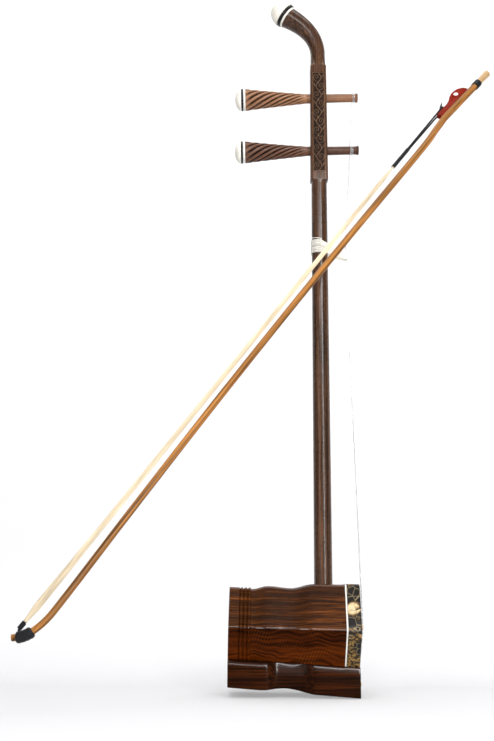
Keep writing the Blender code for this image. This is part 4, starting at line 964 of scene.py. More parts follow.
def shoulder(x, outline):
    """The base's half width, its shoulder's reach, drop and top, and the seat's lip, half width and floor."""
    scoop = scoop_share(x)
    wide = BASE_HALF_WIDTH - BASE_WAIST * scoop
    soft = BASE_SOFT + (SCOOP_SOFT - BASE_SOFT) * scoop
    t = (x - BASE_BACK_X) / (BASE_FRONT_X - BASE_BACK_X)
    axis = RES_FRAME.translation.z - math.tan(RES_TILT) * x
    high = axis - (RIM_HALF + (SHOULDER_HALF - RIM_HALF) * t) + CRADLE_RISE
    half = seat_half(x, outline) + FIT
    floor = axis - half
    inner = half * TAN30 + (high - floor) * TAN30
    return wide, min(soft, wide - inner - FIT), soft, high, inner, half, floor


def polish_shoulder(bm, outline):
    """Keep how far each point lies on the round of the shoulder, for its polish."""
    edge = bm.verts.layers.float.new("edge")
    for vert in bm.verts:
        wide, reach, soft, high = shoulder(vert.co.x, outline)[:4]
        out = (abs(vert.co.y) - wide + reach) / reach
        up = (vert.co.z - high + soft) / soft
        calm = abs(2 * scoop_share(vert.co.x) - 1) ** 6
        vert[edge] = calm * min(max(2 * out * up, 0.0), 1.0) if out > 0 and up > 0 else 0.0


def base_ring(x, outline):
    """A section of the base: rounded edges, scooped at the waist, with the seat on top."""
    low = ARCH_RISE * waist_share(x) - BASE_SLOPE * x
    wide, reach, soft, high, inner, half, floor = shoulder(x, outline)
    small = BASE_ROUND
    right = [(wide - small + small * math.sin(a), low + small - small * math.cos(a)) for a in quarter(4)]
    right += [(wide - reach + reach * math.cos(a), high - soft + soft * math.sin(a)) for a in quarter(9)]
    right += [(inner, high), (half * TAN30, floor)]
    return [(x, y, z) for y, z in right] + [(x, -y, z) for y, z in right[::-1]]


def make_base():
    outline = wave_outline() + [(REBATE_AT + REBATE_STEP, SKIN_OUTER), (RES_LENGTH, SKIN_OUTER)]
    span = BASE_FRONT_X - BASE_BACK_X
    spots = [BASE_BACK_X + span * i / BASE_SECTIONS for i in range(BASE_SECTIONS + 1)]
    bm = sweep([base_ring(x, outline) for x in spots])
    ends = [f for f in bm.faces if len(f.verts) > 4]
    around = {e for f in ends for e in f.edges}
    bmesh.ops.bevel(
        bm, geom=list(around), offset=BASE_BEVEL, segments=3, profile=0.5, affect="EDGES",
        clamp_overlap=True, material=-1,
    )
    pins = {
        "tail_pin_inner": Vector((BASE_FRONT_X, PIN_HALF, PIN_Z)),
        "tail_pin_outer": Vector((BASE_FRONT_X, -PIN_HALF, PIN_Z)),
    }
    cutters = [rod((0, 0, NECK_FOOT_Z - FIT), (0, 0, BASE_BORE_TOP), NECK_R_LOW + FIT)]
    for at in pins.values():
        cutters.append(rod(at - Vector((PIN_IN + FIT, 0, 0)), at + Vector((PIN_R, 0, 0)), PIN_R + FIT, 20))
    bm = drilled(bm, cutters)
    polish_shoulder(bm, outline)
    dress(bm, "base", "instrument", "Base wood")
    soft, neck_end = PIN_HEAD * 0.4, PIN_OUT - PIN_HEAD
    profile = [
        (0.0, PIN_OUT), (PIN_HEAD_R - soft, PIN_OUT), (PIN_HEAD_R, PIN_OUT - soft),
        (PIN_HEAD_R, neck_end + soft), (PIN_HEAD_R - soft, neck_end), (PIN_R, neck_end),
        (PIN_R, -PIN_IN), (0.0, -PIN_IN),
    ]
    for pin, at in pins.items():
        dress(turned(profile, aim(at, (1.0, 0.0, 0.0)), 28), pin, "instrument", "Brass")


# Neck and head
def neck_ring(centre, along, half_x, half_y, power, count=64):
    """A section across the neck: round at power 2 and squarer above it."""
    side = Vector((along.z, 0.0, -along.x))
    ring = []
    for i in range(count):
        a = 2 * math.pi * (i + 0.5) / count
        c, s = math.cos(a), math.sin(a)
        reach = (abs(c) ** power + abs(s) ** power) ** (-1 / power)
        ring.append(centre + side * half_x * c * reach + Vector((0.0, half_y * s * reach, 0.0)))
    return ring


def make_carving(side, name):
    """A scrolling vine in relief on a sunk panel, inside a raised border."""
    sizes = bpy.context.scene.erhu_sizes
    face = side * (SQUARE_HALF_DEEP - PANEL_DEPTH)
    proud = face + side * VINE_R / 2
    reach = PANEL_HALF - BORDER_IN - 2 * VINE_R
    first, last = PANEL_LOW + 2 * BORDER_IN, PANEL_HIGH - 2 * BORDER_IN
    pitch = (last - first) / sizes.ornaments
    stem = []
    for i in range(sizes.ornaments * 12 + 1):
        stem.append((STEM_SWING * reach * math.sin(math.pi * i / 12), proud, first + pitch * i / 12))
    parts = [tube(stem, VINE_R * 1.2, 6)]
    for i in range(sizes.ornaments):
        middle = first + pitch * (i + 0.5)
        bend = reach if i % 2 == 0 else -reach
        for points, radius in ((TENDRIL, VINE_R), (LEAF, VINE_R * 1.4), (BUD, VINE_R * 1.5)):
            line = round_path([(bend * x, proud, middle + pitch * z) for x, z in points], 4)
            swell = [math.sin(math.pi * k / (len(line) - 1)) for k in range(len(line))]
            parts.append(tube(line, [radius * (0.45 + 0.55 * share) for share in swell], 6))
    border, low, high = PANEL_HALF - BORDER_IN, PANEL_LOW + BORDER_IN, PANEL_HIGH - BORDER_IN
    for x in (-border, border):
        parts.append(tube([(x, proud, low), (x, proud, high)], VINE_R, 6))
    for z in (low, high):
        parts.append(tube([(-border, proud, z), (border, proud, z)], VINE_R, 6))
    floor = bmesh.new()
    bmesh.ops.create_cube(floor, size=1.0)
    thin, tall = FIT / 2, PANEL_HIGH - PANEL_LOW - 2 * FIT
    bmesh.ops.scale(floor, vec=(2 * PANEL_HALF - 2 * FIT, thin, tall), verts=floor.verts)
    middle = (0.0, face - side * thin / 4, (PANEL_LOW + PANEL_HIGH) / 2)
    bmesh.ops.translate(floor, vec=middle, verts=floor.verts)
    finished(floor, "panel_" + name, "instrument", "Sunk panel")
    finished(joined(parts), "carving_" + name, "instrument", "Carved ornament")


def neck_spans():
    """Height, half width, half depth and power of the neck's sections below the head."""
    step = SQUARE_STEP
    spans = [(z, NECK_R_LOW, NECK_R_LOW, ROUND) for z in (NECK_FOOT_Z, NECK_TAPER_Z)]
    spans.append((SQUARE_Z - 2 * step, NECK_R_HIGH, NECK_R_HIGH, ROUND))
    for i in range(5):
        t = i / 4
        wide = NECK_R_HIGH + (SQUARE_HALF_LOW - NECK_R_HIGH) * t
        deep = NECK_R_HIGH + (SQUARE_HALF_DEEP - NECK_R_HIGH) * t
        spans.append((SQUARE_Z - step * (1 - t), wide, deep, ROUND + (SQUARE - ROUND) * t ** 2))
    for z in (SQUARE_Z + step / 4, PANEL_LOW, PANEL_HIGH, SQUARE_TOP_Z - step / 4, SQUARE_TOP_Z):
        t = (z - SQUARE_Z) / (SQUARE_TOP_Z - SQUARE_Z)
        wide = SQUARE_HALF_LOW + (SQUARE_HALF_TOP - SQUARE_HALF_LOW) * t
        spans.append((z, wide, SQUARE_HALF_DEEP, SQUARE))
    for i in range(1, 5):
        t = i / 4
        slim = step / 4 * t
        wide, deep = SQUARE_HALF_TOP - slim, SQUARE_HALF_DEEP - slim
        spans.append((SQUARE_TOP_Z + step * t, wide, deep, SQUARE - 4 * t))
    return spans


def make_neck():
    up = Vector((0.0, 0.0, 1.0))
    rings = []
    for z, wide, deep, power in neck_spans():
        rings.append(neck_ring(Vector((0.0, 0.0, z)), up, wide, deep, power))
    for i in range(25):
        t = i / 24
        centre = HEAD_THROAT * (1 - t) ** 2 + HEAD_BEND * 2 * t * (1 - t) + HEAD_END * t ** 2
        along = (up * (1 - t) + HEAD_AXIS * t).normalized()
        radius = HEAD_THROAT_R + (HEAD_END_R - HEAD_THROAT_R) * t ** 1.5
        rings.append(neck_ring(centre, along, radius, radius, ROUND))
    bm = sweep(rings)
    bmesh.ops.recalc_face_normals(bm, faces=bm.faces)
    for side in (-1, 1):
        panel = []
        for face in bm.faces:
            at = face.calc_center_median()
            if PANEL_LOW < at.z < PANEL_HIGH and abs(at.x) < PANEL_HALF and face.normal.y * side > 0.9:
                panel.append(face)
        bmesh.ops.inset_region(bm, faces=panel, thickness=FIT, depth=-PANEL_DEPTH, use_even_offset=True)
    reach = PEG_AXIS * 2 * SQUARE_HALF_LOW
    bores = []
    for z in (UPPER_PEG_Z, LOWER_PEG_Z):
        middle = Vector((0.0, 0.0, z))
        bores.append(rod(middle - reach, middle + reach, PEG_SHAFT_R + 3 * FIT))
    dress(drilled(bm, bores), "neck", "instrument", "Neck wood", 30.0)
    make_carving(-1, "near")
    make_carving(1, "far")
    at = HEAD_END + HEAD_AXIS * FIT
    white_r = HEAD_END_R + HEAD_RING_PROUD
    white = rim(white_r, HEAD_WHITE, HEAD_WHITE_SOFT)
    black = rim(white_r + HEAD_RING_PROUD, HEAD_BLACK, HEAD_BLACK_SOFT)
    for name, profile, slot, look, thick in (
        ("head_white_ring", white, "white_inlay", "White inlay", HEAD_WHITE),
        ("head_black_ring", black, "black_horn", "Black horn", HEAD_BLACK),
        ("head_cap", dome(HEAD_CAP_R, HEAD_CAP), "bone", "Bone", HEAD_CAP),
    ):
        dress(turned(profile, aim(at, HEAD_AXIS)), name, "instrument", look)
        at = at + HEAD_AXIS * (thick + FIT)


# Pegs
def peg_radius(along):
    t = (along + PEG_HANDLE_END) / (PEG_HANDLE_END - PEG_WAIST)
    return PEG_HANDLE_R + (PEG_WAIST_R - PEG_HANDLE_R) * max(t, 0.0) ** 0.9


def peg_stations():
    """Place along a peg, radius and share of the flutes' depth."""
    stations = []
    handle = PEG_HANDLE_END - PEG_WAIST
    for i in range(49):
        t = i / 48
        along = -PEG_HANDLE_END + handle * t
        share = min(1.0, 7 * (1 - t)) * min(1.0, 0.3 + 7 * t)
        stations.append((along, peg_radius(along), share))
    stations += [(-SQUARE_HALF_LOW, PEG_SHAFT_R + FIT, 0.0), (SQUARE_HALF_LOW, PEG_STRING_R + FIT, 0.0)]
    collar = PEG_STRING_END - PEG_COLLAR_LENGTH
    stations.append((collar - FIT, PEG_STRING_R, 0.0))
    for third in range(3):
        low = collar + PEG_COLLAR_LENGTH * third / 3
        for i in range(6):
            t = i / 5
            bulge = (PEG_COLLAR_R - PEG_STRING_R) * math.sin(math.pi * t) ** 0.6
            stations.append((low + PEG_COLLAR_LENGTH * 0.333 * t, PEG_STRING_R + bulge, 0.0))
    return stations


def make_peg(name, body, z, look):
    sizes = bpy.context.scene.erhu_sizes
    place = aim(Vector((0.0, 0.0, z)), PEG_AXIS)
    count = sizes.flutes * 10
    rings = []
    for along, radius, share in peg_stations():
        twist = sizes.flute_twist * (min(along, -PEG_WAIST) + PEG_HANDLE_END) / PEG_HANDLE_END
        deepest = sizes.flute_depth * share * (radius / PEG_HANDLE_R) ** 0.5
        ring = []
        for i in range(count):
            a = 2 * math.pi * i / count
            reach = radius - deepest * (1 - abs(math.sin(sizes.flutes * a / 2)))
            ring.append(place @ Vector((reach * math.cos(a + twist), reach * math.sin(a + twist), along)))
        rings.append(ring)
    bm = sweep(rings)
    # How deep each point lies in a flute, which the finish turns into painted highlight and painted shade
    depth = bm.verts.layers.float.new("flute_shading")
    inward = place.inverted()
    for vert in bm.verts:
        spot = inward @ vert.co
        fluted = spot.z < -PEG_WAIST - FIT
        vert[depth] = (peg_radius(spot.z) - spot.xy.length) / sizes.flute_depth if fluted else PLAIN_GROOVE
    dress(bm, name, body, look, 50.0)
    white = rim(PEG_HANDLE_R - PEG_RING_PROUD, PEG_WHITE, PEG_WHITE_SOFT)
    black = rim(PEG_HANDLE_R + PEG_RING_PROUD, PEG_BLACK, PEG_BLACK_SOFT)
    at = -PEG_HANDLE_END - FIT
    for part, profile, part_slot, part_look, thick in (
        ("_white_ring", white, "white_inlay", "White inlay", PEG_WHITE),
        ("_black_ring", black, "black_horn", "Black horn", PEG_BLACK),
        ("_cap", dome(PEG_HANDLE_R - PEG_CAP_IN, PEG_CAP), "bone", "Bone", PEG_CAP),
    ):
        spot = place @ aim((0.0, 0.0, at), (0.0, 0.0, -1.0))
        dress(turned(profile, spot), name + part, body, part_look)
        at -= thick + FIT


def make_pegs():
    make_peg("upper_peg", "upper_tuner", UPPER_PEG_Z, "Upper peg wood")
    make_peg("lower_peg", "lower_tuner", LOWER_PEG_Z, "Lower peg wood")


# Strings
def make_string(name, peg_z, start, side):
    radius = PEG_STRING_R + FIT + STRING_R
    place = aim(Vector((0.0, 0.0, peg_z)), PEG_AXIS)
    points = []
    for i in range(TURN_POINTS * STRING_TURNS + 1):
        turn = STRING_TURNS - i / TURN_POINTS
        a = 2 * math.pi * turn
        offset = Vector((0.0, side * radius * math.cos(a), radius * math.sin(a)))
        points.append(place @ Vector((0.0, 0.0, start + STRING_PITCH * turn)) + offset)
    if side > 0:
        t = (points[-1].z - LOWER_PEG_Z) / (points[-1].z - LOOP_Z)
        points.append(Vector((points[-1].x + (LOOP_X - points[-1].x) * t, radius, LOWER_PEG_Z)))
    points.append(Vector((LOOP_X, side * LOOP_STRING_HALF, LOOP_Z)))
    lift = RES_BACK_X + RES_LENGTH + BRIDGE_HEIGHT + 2 * FIT + STRING_R
    over = RES_FRAME @ Vector((lift, 0.0, BRIDGE_OFF_CENTRE))
    points.append(Vector((over.x, side * BRIDGE_STRING_HALF, over.z)))
    hook = PIN_R + FIT + STRING_R
    tail_x = BASE_FRONT_X + FIT + 2 * STRING_R
    for i in range(HOOK_POINTS):
        a = math.pi + 2 * math.pi * i / TURN_POINTS
        y = side * (PIN_HALF + hook * math.cos(a))
        points.append(Vector((tail_x + STRING_PITCH * i / TURN_POINTS, y, PIN_Z + hook * math.sin(a))))
    dress(tube(points, STRING_R, 8), name, "instrument", "Steel", 60.0)


def loop_plan(share, lift, sizes):
    """A thread turn's plan: round the back of the neck, then round the strings in front."""
    up, taper = LOOP_NECK_Z - NECK_TAPER_Z, SQUARE_Z - NECK_TAPER_Z
    neck_r = NECK_R_LOW + (NECK_R_HIGH - NECK_R_LOW) * up / taper
    neck_reach = neck_r + FIT + sizes.thread_radius
    string_reach = LOOP_STRING_HALF + STRING_R + FIT + sizes.thread_radius + lift
    lean = math.acos((neck_reach - string_reach) / LOOP_X)
    if share < LOOP_BACK:
        a = lean + (2 * math.pi - 2 * lean) * share / LOOP_BACK
        return neck_reach * math.cos(a), neck_reach * math.sin(a)
    a = min(max(-lean + 2 * lean * (share - LOOP_FRONT_FROM) / LOOP_FRONT, -lean), lean)
    return LOOP_X + string_reach * math.cos(a), string_reach * math.sin(a)


def make_thread_loop():
    """The thread that draws both strings to the neck, in two layers on the strings."""
    sizes = bpy.context.scene.erhu_sizes
    turns = sizes.thread_turns
    neck_pitch, string_pitch = LOOP_NECK_HIGH / turns, LOOP_STRING_HIGH / turns
    dice = random.Random(5)
    uneven = [dice.uniform(-UNEVEN, UNEVEN) for turn in range(turns + 2)]
    points = []
    for i in range(TURN_POINTS * turns + LAST_POINTS):
        turn = i / TURN_POINTS
        lift = sizes.thread_radius * LAYER_LIFT * (0.5 - 0.5 * math.cos(math.pi * turn))
        x, y = loop_plan(turn % 1.0, lift, sizes)
        middle = turn - (turns + LOOP_BACK) / 2 + uneven[int(turn)] * math.sin(math.pi * (turn % 1.0))
        front = min(max(x / LOOP_X, 0.0), 1.0)
        on_neck = LOOP_NECK_Z - middle * neck_pitch
        on_strings = LOOP_Z - middle * string_pitch
        point = Vector((x, y, on_neck + (on_strings - on_neck) * front))
        if not points or (point - points[-1]).length > sizes.thread_radius:
            points.append(point)
    reach = NECK_R_HIGH + 2 * FIT + 2 * sizes.thread_radius
    top = LOOP_NECK_Z + LOOP_NECK_HIGH / 2
    loose = []
    for i in range(9):
        a = math.radians(LOOSE_FROM + LOOSE_TURN * i / 8)
        loose.append(Vector((reach * math.cos(a), reach * math.sin(a), top + LOOSE_RISE * (i / 8 + 0.1))))
    parts = [tube(points, sizes.thread_radius, 8), tube(round_path(loose, 2), sizes.thread_radius, 8)]
    finished(joined(parts), "thread_loop", "instrument", "Thread", ["qianjin"], 60.0)


def make_strings():
    make_string("inner_string", UPPER_PEG_Z, UPPER_WIND_X, 1)
    make_string("outer_string", LOWER_PEG_Z, LOWER_WIND_X, -1)
    make_thread_loop()


# Bow
def stick_radius(s):
    """The stick thickens a little to the middle, then more towards the handle."""
    t = (s - STICK_PATH[0][0]) / (HANDLE_S - STICK_PATH[0][0])
    if t < 0.6:
        return STICK_R_TIP + (STICK_R_MID - STICK_R_TIP) * max(t, 0.0) / 0.6
    return STICK_R_MID + (STICK_R_BUTT - STICK_R_MID) * min((t - 0.6) / 0.4, 1.0)


def on_bow(along):
    """A point of the hair's line."""
    return BOW_FRAME @ Vector((along, 0.0, 0.0))


def on_handle(along):
    """A point of the handle's axis."""
    return HANDLE_FRAME @ Vector((0.0, 0.0, along))


def make_stick():
    spine = [(s, d, 0.0) for s, d in STICK_PATH]
    handle = [HANDLE_ORIGIN + HANDLE_ALONG * HANDLE_LENGTH * t for t in (0.25, 0.5, 0.75, 1.0)]
    path = round_path(spine, 10) + handle
    bm = tube([BOW_FRAME @ point for point in path], [stick_radius(point.x) for point in path], 20)
    slot = bmesh.new()
    bmesh.ops.create_cube(slot, size=1.0)
    bmesh.ops.scale(slot, vec=SLOT_SIZE, verts=slot.verts)
    bmesh.ops.transform(slot, matrix=HANDLE_FRAME @ Matrix.Translation(SLOT_AT), verts=slot.verts)
    bore = rod(on_handle(SCREW_BORE_FROM), on_handle(SCREW_BORE_TO), SCREW_BORE_R, 20)
    dress(drilled(bm, [slot, bore]), "bow_stick", "bow", "Reed", 45.0)
    wrapped = [point for point in round_path(spine, 40) if WRAP_FROM_S < point.x < WRAP_TO_S]
    radii = []
    for i in range(len(wrapped)):
        lap = 1 - (WRAP_LAPS * i / len(wrapped)) % 1.0
        end = min(i, len(wrapped) - 1 - i, 4) / 4
        radii.append(WRAP_R - WRAP_END * (1 - end) - WRAP_LAP * lap)
    wrap = tube([BOW_FRAME @ point for point in wrapped], radii, 20)
    dress(wrap, "bow_tip_wrap", "bow", "Black leather", 50.0)
    inner = STICK_R_BUTT + FIT
    front = HANDLE_LENGTH - BAND_LENGTH
    soft = BAND_THICK * 0.6
    outer = inner + BAND_THICK
    band = [
        (outer - soft, HANDLE_LENGTH), (outer, HANDLE_LENGTH - soft), (outer, front + soft),
        (outer - soft, front), (inner, front), (inner, HANDLE_LENGTH),
    ]
    dress(turned(band, HANDLE_FRAME, closed=True), "bow_band", "bow", "Black leather")


def hair_width(s):
    """Half the hank's width and thickness: round at its ends, full near the tip and flat at the strings."""
    t = min(max((BINDING_FROM_S - FIT - s) / HAIR_GATHER, 0.0), 1.0)
    wide, thick = ease(HAIR_END_R, HAIR_HALF_WIDTH, t), ease(HAIR_END_R, HAIR_HALF_THICK, t)
    full = 1 - min((s - HAIR_TIP_S) / HAIR_FULL, 1.0)
    tied = min(1.6 * (s - HAIR_TIP_S) / HAIR_GATHER, 1.0)
    wide = ease(wide, ease(KNOT_R - 2 * FIT, HAIR_FULL_HALF, tied), full)
    return wide, ease(thick, KNOT_R - 2 * FIT, full)


def hair_stations():
    """Places along the hank, closer together near its ends."""
    near_ends = [HAIR_GATHER * i / 6 for i in range(7)]
    stations = [HAIR_TIP_S + step for step in near_ends]
    last = BINDING_FROM_S - FIT
    count = 16
    between = last - 2 * HAIR_GATHER - HAIR_TIP_S
    stations += [stations[-1] + between * i / count for i in range(1, count)]
    return stations + [last - step for step in near_ends[::-1]] + [HAIR_FROG_S]


def hair_point(s, a, strand):
    """A place on the hank's outside, a strand's radius in."""
    wide, thick = hair_width(s)
    wide_way = Vector((0.0, math.cos(BOW_ROLL), math.sin(BOW_ROLL)))
    thick_way = Vector((0.0, math.sin(BOW_ROLL), -math.cos(BOW_ROLL)))
    spot = Vector((s, 0.0, 0.0)) + wide_way * (wide - strand) * math.cos(a)
    return BOW_FRAME @ (spot + thick_way * (thick - strand) * math.sin(a))


def make_hair():
    sizes = bpy.context.scene.erhu_sizes
    strand = sizes.hair_radius
    stations = hair_stations()
    angles = [2 * math.pi * k / 16 for k in range(16)]
    parts = [sweep([[hair_point(s, a, strand) for a in angles] for s in stations])]
    dice = random.Random(7)
    for k in range(sizes.hair_strands):
        a = 2 * math.pi * (k + dice.uniform(-0.3, 0.3)) / sizes.hair_strands
        drift = dice.uniform(-0.25, 0.25)
        line = []
        for i, s in enumerate(stations):
            line.append(hair_point(s, a + drift * math.sin(math.pi * i / len(stations)), strand))
        parts.append(tube(line, strand, 5))
    dress(joined(parts), "bow_hair", "bow", "Horsehair", 60.0)


def make_knot():
    """The wound knot that ties the hair to the stick's tip."""
    along = BOW_FRAME.to_3x3() @ Vector((1.0, 0.0, 0.0))
    length, thread = KNOT_TO_S - KNOT_FROM_S, KNOT_THREAD
    core = rod(on_bow(KNOT_FROM_S), on_bow(KNOT_TO_S), KNOT_R - 2 * thread, 24)
    start = on_bow(KNOT_FROM_S + thread)
    turns = wound(start, along, length - 2 * thread, KNOT_R - thread, thread, KNOT_PITCH)
    tie = [
        (KNOT_FROM_S + KNOT_R, 0.0, 0.0), (KNOT_FROM_S - KNOT_R / 2, KNOT_R / 2, 0.0), (*STICK_PATH[1], 0.0),
    ]
    tie = tube([BOW_FRAME @ point for point in round_path(tie, 5)], KNOT_R * 0.6, 12)
    dress(joined([core, turns, tie]), "hair_tip_knot", "bow", "Black cord", 60.0)


def make_bow():
    make_stick()
    make_hair()
    make_knot()


# Handle end
def make_frog():
    dress(eased("frog", 0.0006), "frog", "frog_block", "Red lacquer")
    for side, eye in ((1, "frog_eye_near"), (-1, "frog_eye_far")):
        spot = Vector((EYE_V, side * (FROG_HALF_THICK - EYE_THICK), EYE_U))
        place = HANDLE_FRAME @ aim(spot, (0.0, side, 0.0))
        dress(turned(rim(EYE_R, EYE_THICK, EYE_SOFT), place, 40), eye, "frog_block", "Pearl")
    dress(eased("frog_hook", 0.0004), "frog_hook", "frog_block", "Black horn")
    dress(eased("frog_eyelet", 0.0002, 2), "frog_eyelet", "frog_block", "Brass")


def make_fastening():
    """The binding that holds the end of the hair, and the cord from it round the hook."""
    start = Vector((BINDING_FROM_S, 0.0, 0.0))
    end = Vector((BINDING_TO_S, BINDING_END_D, 0.0))
    onward, length = (end - start).normalized(), (end - start).length
    at, along = BOW_FRAME @ start, BOW_FRAME.to_3x3() @ onward
    pitch = bpy.context.scene.erhu_sizes.binding_pitch
    thread = pitch / 2
    core = BINDING_R - 2 * thread + BINDING_SINK
    bore = BINDING_BORE_R - BINDING_LINING
    profile = [
        (0.0, length), (core, length), (core, 0.0), (bore, 0.0), (bore, BINDING_BORE), (0.0, BINDING_BORE),
    ]
    sleeve = turned(profile, aim(at, along), 28)
    turns = wound(at + along * thread, along, length - 2 * thread, BINDING_R - thread, thread, pitch)
    dress(joined([sleeve, turns]), "hair_binding", "frog_block", "Black cord", 60.0)
    hook_at = HANDLE_ORIGIN + HANDLE_ALONG * CORD_U + HANDLE_IN * CORD_V
    leave = end + onward * FIT
    line = [leave - Vector((0.0, 0.0, CORD_START_HALF))]
    for i in range(17):
        a = math.pi * i / 16
        out = HANDLE_ALONG * CORD_HALF * math.sin(a)
        line.append(hook_at + out - Vector((0.0, 0.0, CORD_HALF * math.cos(a))))
    line.append(leave + Vector((0.0, 0.0, CORD_START_HALF)))
    bm = tube([BOW_FRAME @ point for point in line], CORD_R * CORD_FULL, 14)
    dress(bm, "hair_loop", "frog_block", "Black cord", 60.0)


def make_button():
    """The end button, and the screw that turns with it."""
    front = HANDLE_LENGTH + FIT
    end, bored = front + BUTTON_LENGTH, front + BUTTON_BORE
    flat, high, soft = BUTTON_R - BUTTON_SOFT, end - BUTTON_SOFT, BUTTON_SOFT
    profile = [(0.0, end)]
    profile += [(flat + soft * math.sin(a), high + soft * math.cos(a)) for a in quarter(5)]
    profile += [
        (BUTTON_NECK_R, front + FIT), (BUTTON_NECK_R - FIT, front),
        (SCREW_BORE_R, front), (SCREW_BORE_R, bored), (0.0, bored),
    ]
    dress(turned(profile, HANDLE_FRAME), "end_button", "button", "Pale wood")
    screw_to = bored - FIT
    core = SCREW_R - SCREW_RIDGE
    at, axis = on_handle(SCREW_FROM), HANDLE_FRAME.to_3x3() @ Vector((0, 0, 1))
    shank = rod(at, on_handle(screw_to), core, 20)
    length = screw_to - SCREW_FROM - 2 * SCREW_RIDGE
    ridge = wound(at + axis * SCREW_RIDGE, axis, length, core, SCREW_RIDGE, SCREW_PITCH)
    dress(joined([shank, ridge]), "tension_screw", "button", "Steel", 60.0)


# Stage
def white_ray(graph):
    """1 for rays from the camera, or that are mirrored or let through, and 0 for the rest."""
    path = graph.add("LightPath").outputs
    seen = graph.math("MAXIMUM", path["Is Camera Ray"], path["Is Glossy Ray"])
    return graph.math("MAXIMUM", seen, path["Is Transmission Ray"])


def paper(name):
    """White paper that keeps the soft shadows, and is clear from behind."""
    material, graph, shader = started(name)
    lit = graph.times(white_ray(graph), PAPER_GLOW)
    behind = graph.add("NewGeometry").outputs["Backfacing"]
    graph.fill(shader, {
        "Base Color": (0.60, 0.60, 0.61, 1.0), "Roughness": 0.9, "Specular IOR Level": 0.0,
        "Emission Color": graph.add("CombineColor", {0: lit, 1: lit, 2: lit}).outputs[0],
        "Emission Strength": 1.0, "Alpha": graph.math("SUBTRACT", 1.0, behind),
    })
    return material


def make_sheet(name, line):
    """Paper along a line of depth and height."""
    bm = bmesh.new()
    verts = [bm.verts.new((-PAPER_HALF, y, z)) for y, z in line]
    edges = [bm.edges.new(pair) for pair in zip(verts, verts[1:])]
    made_of = bmesh.ops.extrude_edge_only(bm, edges=edges)["geom"]
    across = [item for item in made_of if isinstance(item, bmesh.types.BMVert)]
    bmesh.ops.translate(bm, vec=(2 * PAPER_HALF, 0.0, 0.0), verts=across)
    bm.normal_update()
    wrong = [face for face in bm.faces if face.normal.z - face.normal.y < 0]
    bmesh.ops.reverse_faces(bm, faces=wrong)
    mesh = bpy.data.meshes.new(name)
    bm.to_mesh(mesh)
    bm.free()
    mesh.shade_smooth()
    mesh.materials.append(made("White paper", paper))
    sheet = bpy.data.objects.new(name, mesh)
    bpy.context.scene.collection.objects.link(sheet)
    return sheet


def make_lamp(name, energy):
    at, target, wide, tall = LAMPS[name]
    lamp = bpy.data.lights.new(name + " light", "AREA")
    lamp.shape = "RECTANGLE"
    lamp.size = wide
    lamp.size_y = tall
    lamp.energy = energy
    # The strip's shadow would fall as a band on the backdrop
    lamp.use_shadow = name != "strip"
    item = bpy.data.objects.new(name + " light", lamp)
    item.matrix_world = Matrix.Translation(at) @ (
        (Vector(target) - Vector(at)).to_track_quat("-Z", "Y").to_matrix().to_4x4()
    )
    bpy.context.scene.collection.objects.link(item)
    return item


def make_world(strength):
    world = bpy.data.worlds.new("Pale room")
    bpy.context.scene.world = world
    world.use_nodes = True
    sky = world.node_tree.nodes["Background"]
    sky.inputs["Color"].default_value = (1.0, 1.0, 1.0, 1.0)
    sky.inputs["Strength"].default_value = strength


def make_camera(stage):
    camera = bpy.data.cameras.new("camera")
    camera.lens = stage.lens
    camera.sensor_fit = "VERTICAL"
    camera.sensor_height = 36.0
    camera.clip_start = 0.01
    eye = bpy.data.objects.new("camera", camera)
    level = Matrix.Rotation(math.radians(90) + stage.camera_tilt, 4, "X")
    roll = Matrix.Rotation(stage.camera_roll, 4, "Z")
    eye.matrix_world = Matrix.Translation(stage.camera_at) @ level @ roll
    bpy.context.scene.collection.objects.link(eye)
    bpy.context.scene.camera = eye
    return eye


def make_stage():
    stage = bpy.context.scene.erhu_stage
    low, far = CAD_BOX[0].z - FLOOR_GAP, stage.backdrop_y
    curve = []
    for a in quarter(12):
        curve.append((far - SWEEP_R + SWEEP_R * math.sin(a), low + SWEEP_R - SWEEP_R * math.cos(a)))
    floor = make_sheet("floor", [(PAPER_NEAR, low), curve[0]])
    drop = make_sheet("backdrop", curve + [(far, PAPER_TALL)])
    lamps = [
        make_lamp("key", stage.key_energy), make_lamp("strip", stage.strip_energy),
        make_lamp("fill", stage.fill_energy), make_lamp("top", stage.top_energy),
    ]
    make_world(stage.world_strength)
    eye = make_camera(stage)
    bpy.context.scene.view_settings.view_transform = "Standard"


# Add-on
class ErhuResonatorOperator(bpy.types.Operator):
    """Make the six staves, the inlay, the snakeskin, the sound window and the bridge"""

    bl_idname = "erhu.resonator"
    bl_label = "Resonator"

    def execute(self, context):
        make_resonator()
        return {"FINISHED"}


class ErhuBaseOperator(bpy.types.Operator):
    """Make the base and its two tail pins"""

    bl_idname = "erhu.base"
    bl_label = "Base"

    def execute(self, context):
        make_base()
        return {"FINISHED"}


class ErhuNeckOperator(bpy.types.Operator):
    """Make the neck with its carved panels, and the head's rings and cap"""

    bl_idname = "erhu.neck"
    bl_label = "Neck and head"

    def execute(self, context):
        make_neck()
        return {"FINISHED"}


class ErhuPegsOperator(bpy.types.Operator):
    """Make the two fluted pegs with their rings and caps"""

    bl_idname = "erhu.pegs"
    bl_label = "Pegs"

    def execute(self, context):
        make_pegs()
        return {"FINISHED"}


class ErhuStringsOperator(bpy.types.Operator):
    """Make the two strings and the thread loop"""

    bl_idname = "erhu.strings"
    bl_label = "Strings and thread loop"

    def execute(self, context):
        make_strings()
        return {"FINISHED"}


class ErhuBowOperator(bpy.types.Operator):
    """Make the bow's stick, tip wrap, band, hair and knot"""

    bl_idname = "erhu.bow"
    bl_label = "Bow"

    def execute(self, context):
        make_bow()
        return {"FINISHED"}


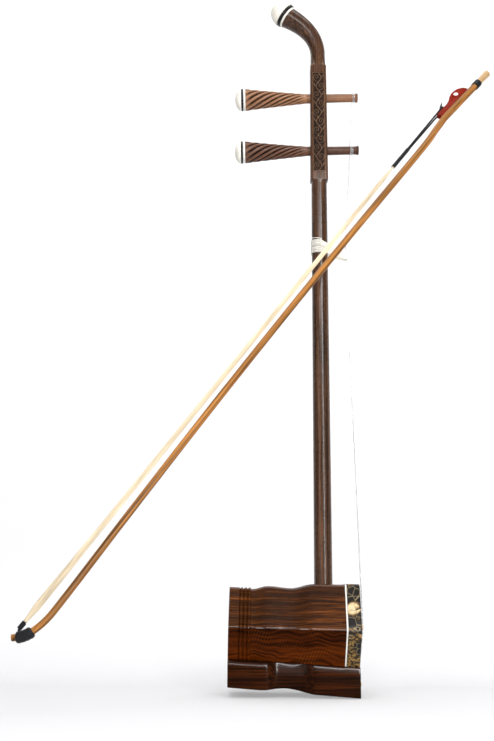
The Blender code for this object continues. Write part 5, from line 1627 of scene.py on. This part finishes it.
class ErhuFrogOperator(bpy.types.Operator):
    """Make the frog, its eyes and hook, the hair's fastening, the button and the screw"""

    bl_idname = "erhu.frog"
    bl_label = "Frog and button"

    def execute(self, context):
        make_frog()
        make_fastening()
        make_button()
        return {"FINISHED"}


class ErhuStageOperator(bpy.types.Operator):
    """Set the floor, the backdrop, the lights and the camera"""

    bl_idname = "erhu.stage"
    bl_label = "Stage"

    def execute(self, context):
        make_stage()
        return {"FINISHED"}


class ErhuPanel(bpy.types.Panel):
    """Sizes, colours and steps of the erhu"""

    bl_idname = "ERHU_PT_main"
    bl_label = "Erhu and bow"
    bl_space_type = "VIEW_3D"
    bl_region_type = "UI"
    bl_category = "Erhu"

    def draw(self, context):
        for group in (context.scene.erhu_sizes, context.scene.erhu_colors, context.scene.erhu_stage):
            box = self.layout.box()
            for name in group.__annotations__:
                box.prop(group, name)
        for operator in OPERATORS:
            self.layout.operator(operator.bl_idname)


OPERATORS = (
    ErhuResonatorOperator, ErhuBaseOperator, ErhuNeckOperator, ErhuPegsOperator, ErhuStringsOperator,
    ErhuBowOperator, ErhuFrogOperator, ErhuStageOperator,
)
CLASSES = (ErhuSizes, ErhuColors, ErhuStage, *OPERATORS, ErhuPanel)


def register():
    for item in CLASSES:
        bpy.utils.register_class(item)
    bpy.types.Scene.erhu_sizes = PointerProperty(type=ErhuSizes)
    bpy.types.Scene.erhu_colors = PointerProperty(type=ErhuColors)
    bpy.types.Scene.erhu_stage = PointerProperty(type=ErhuStage)


def unregister():
    del bpy.types.Scene.erhu_stage
    del bpy.types.Scene.erhu_colors
    del bpy.types.Scene.erhu_sizes
    for item in reversed(CLASSES):
        bpy.utils.unregister_class(item)


def main():
    register()
    bpy.ops.erhu.resonator()
    bpy.ops.erhu.base()
    bpy.ops.erhu.neck()
    bpy.ops.erhu.pegs()
    bpy.ops.erhu.strings()
    bpy.ops.erhu.bow()
    bpy.ops.erhu.frog()
    bpy.ops.erhu.stage()


if __name__ == "__main__":
    main()
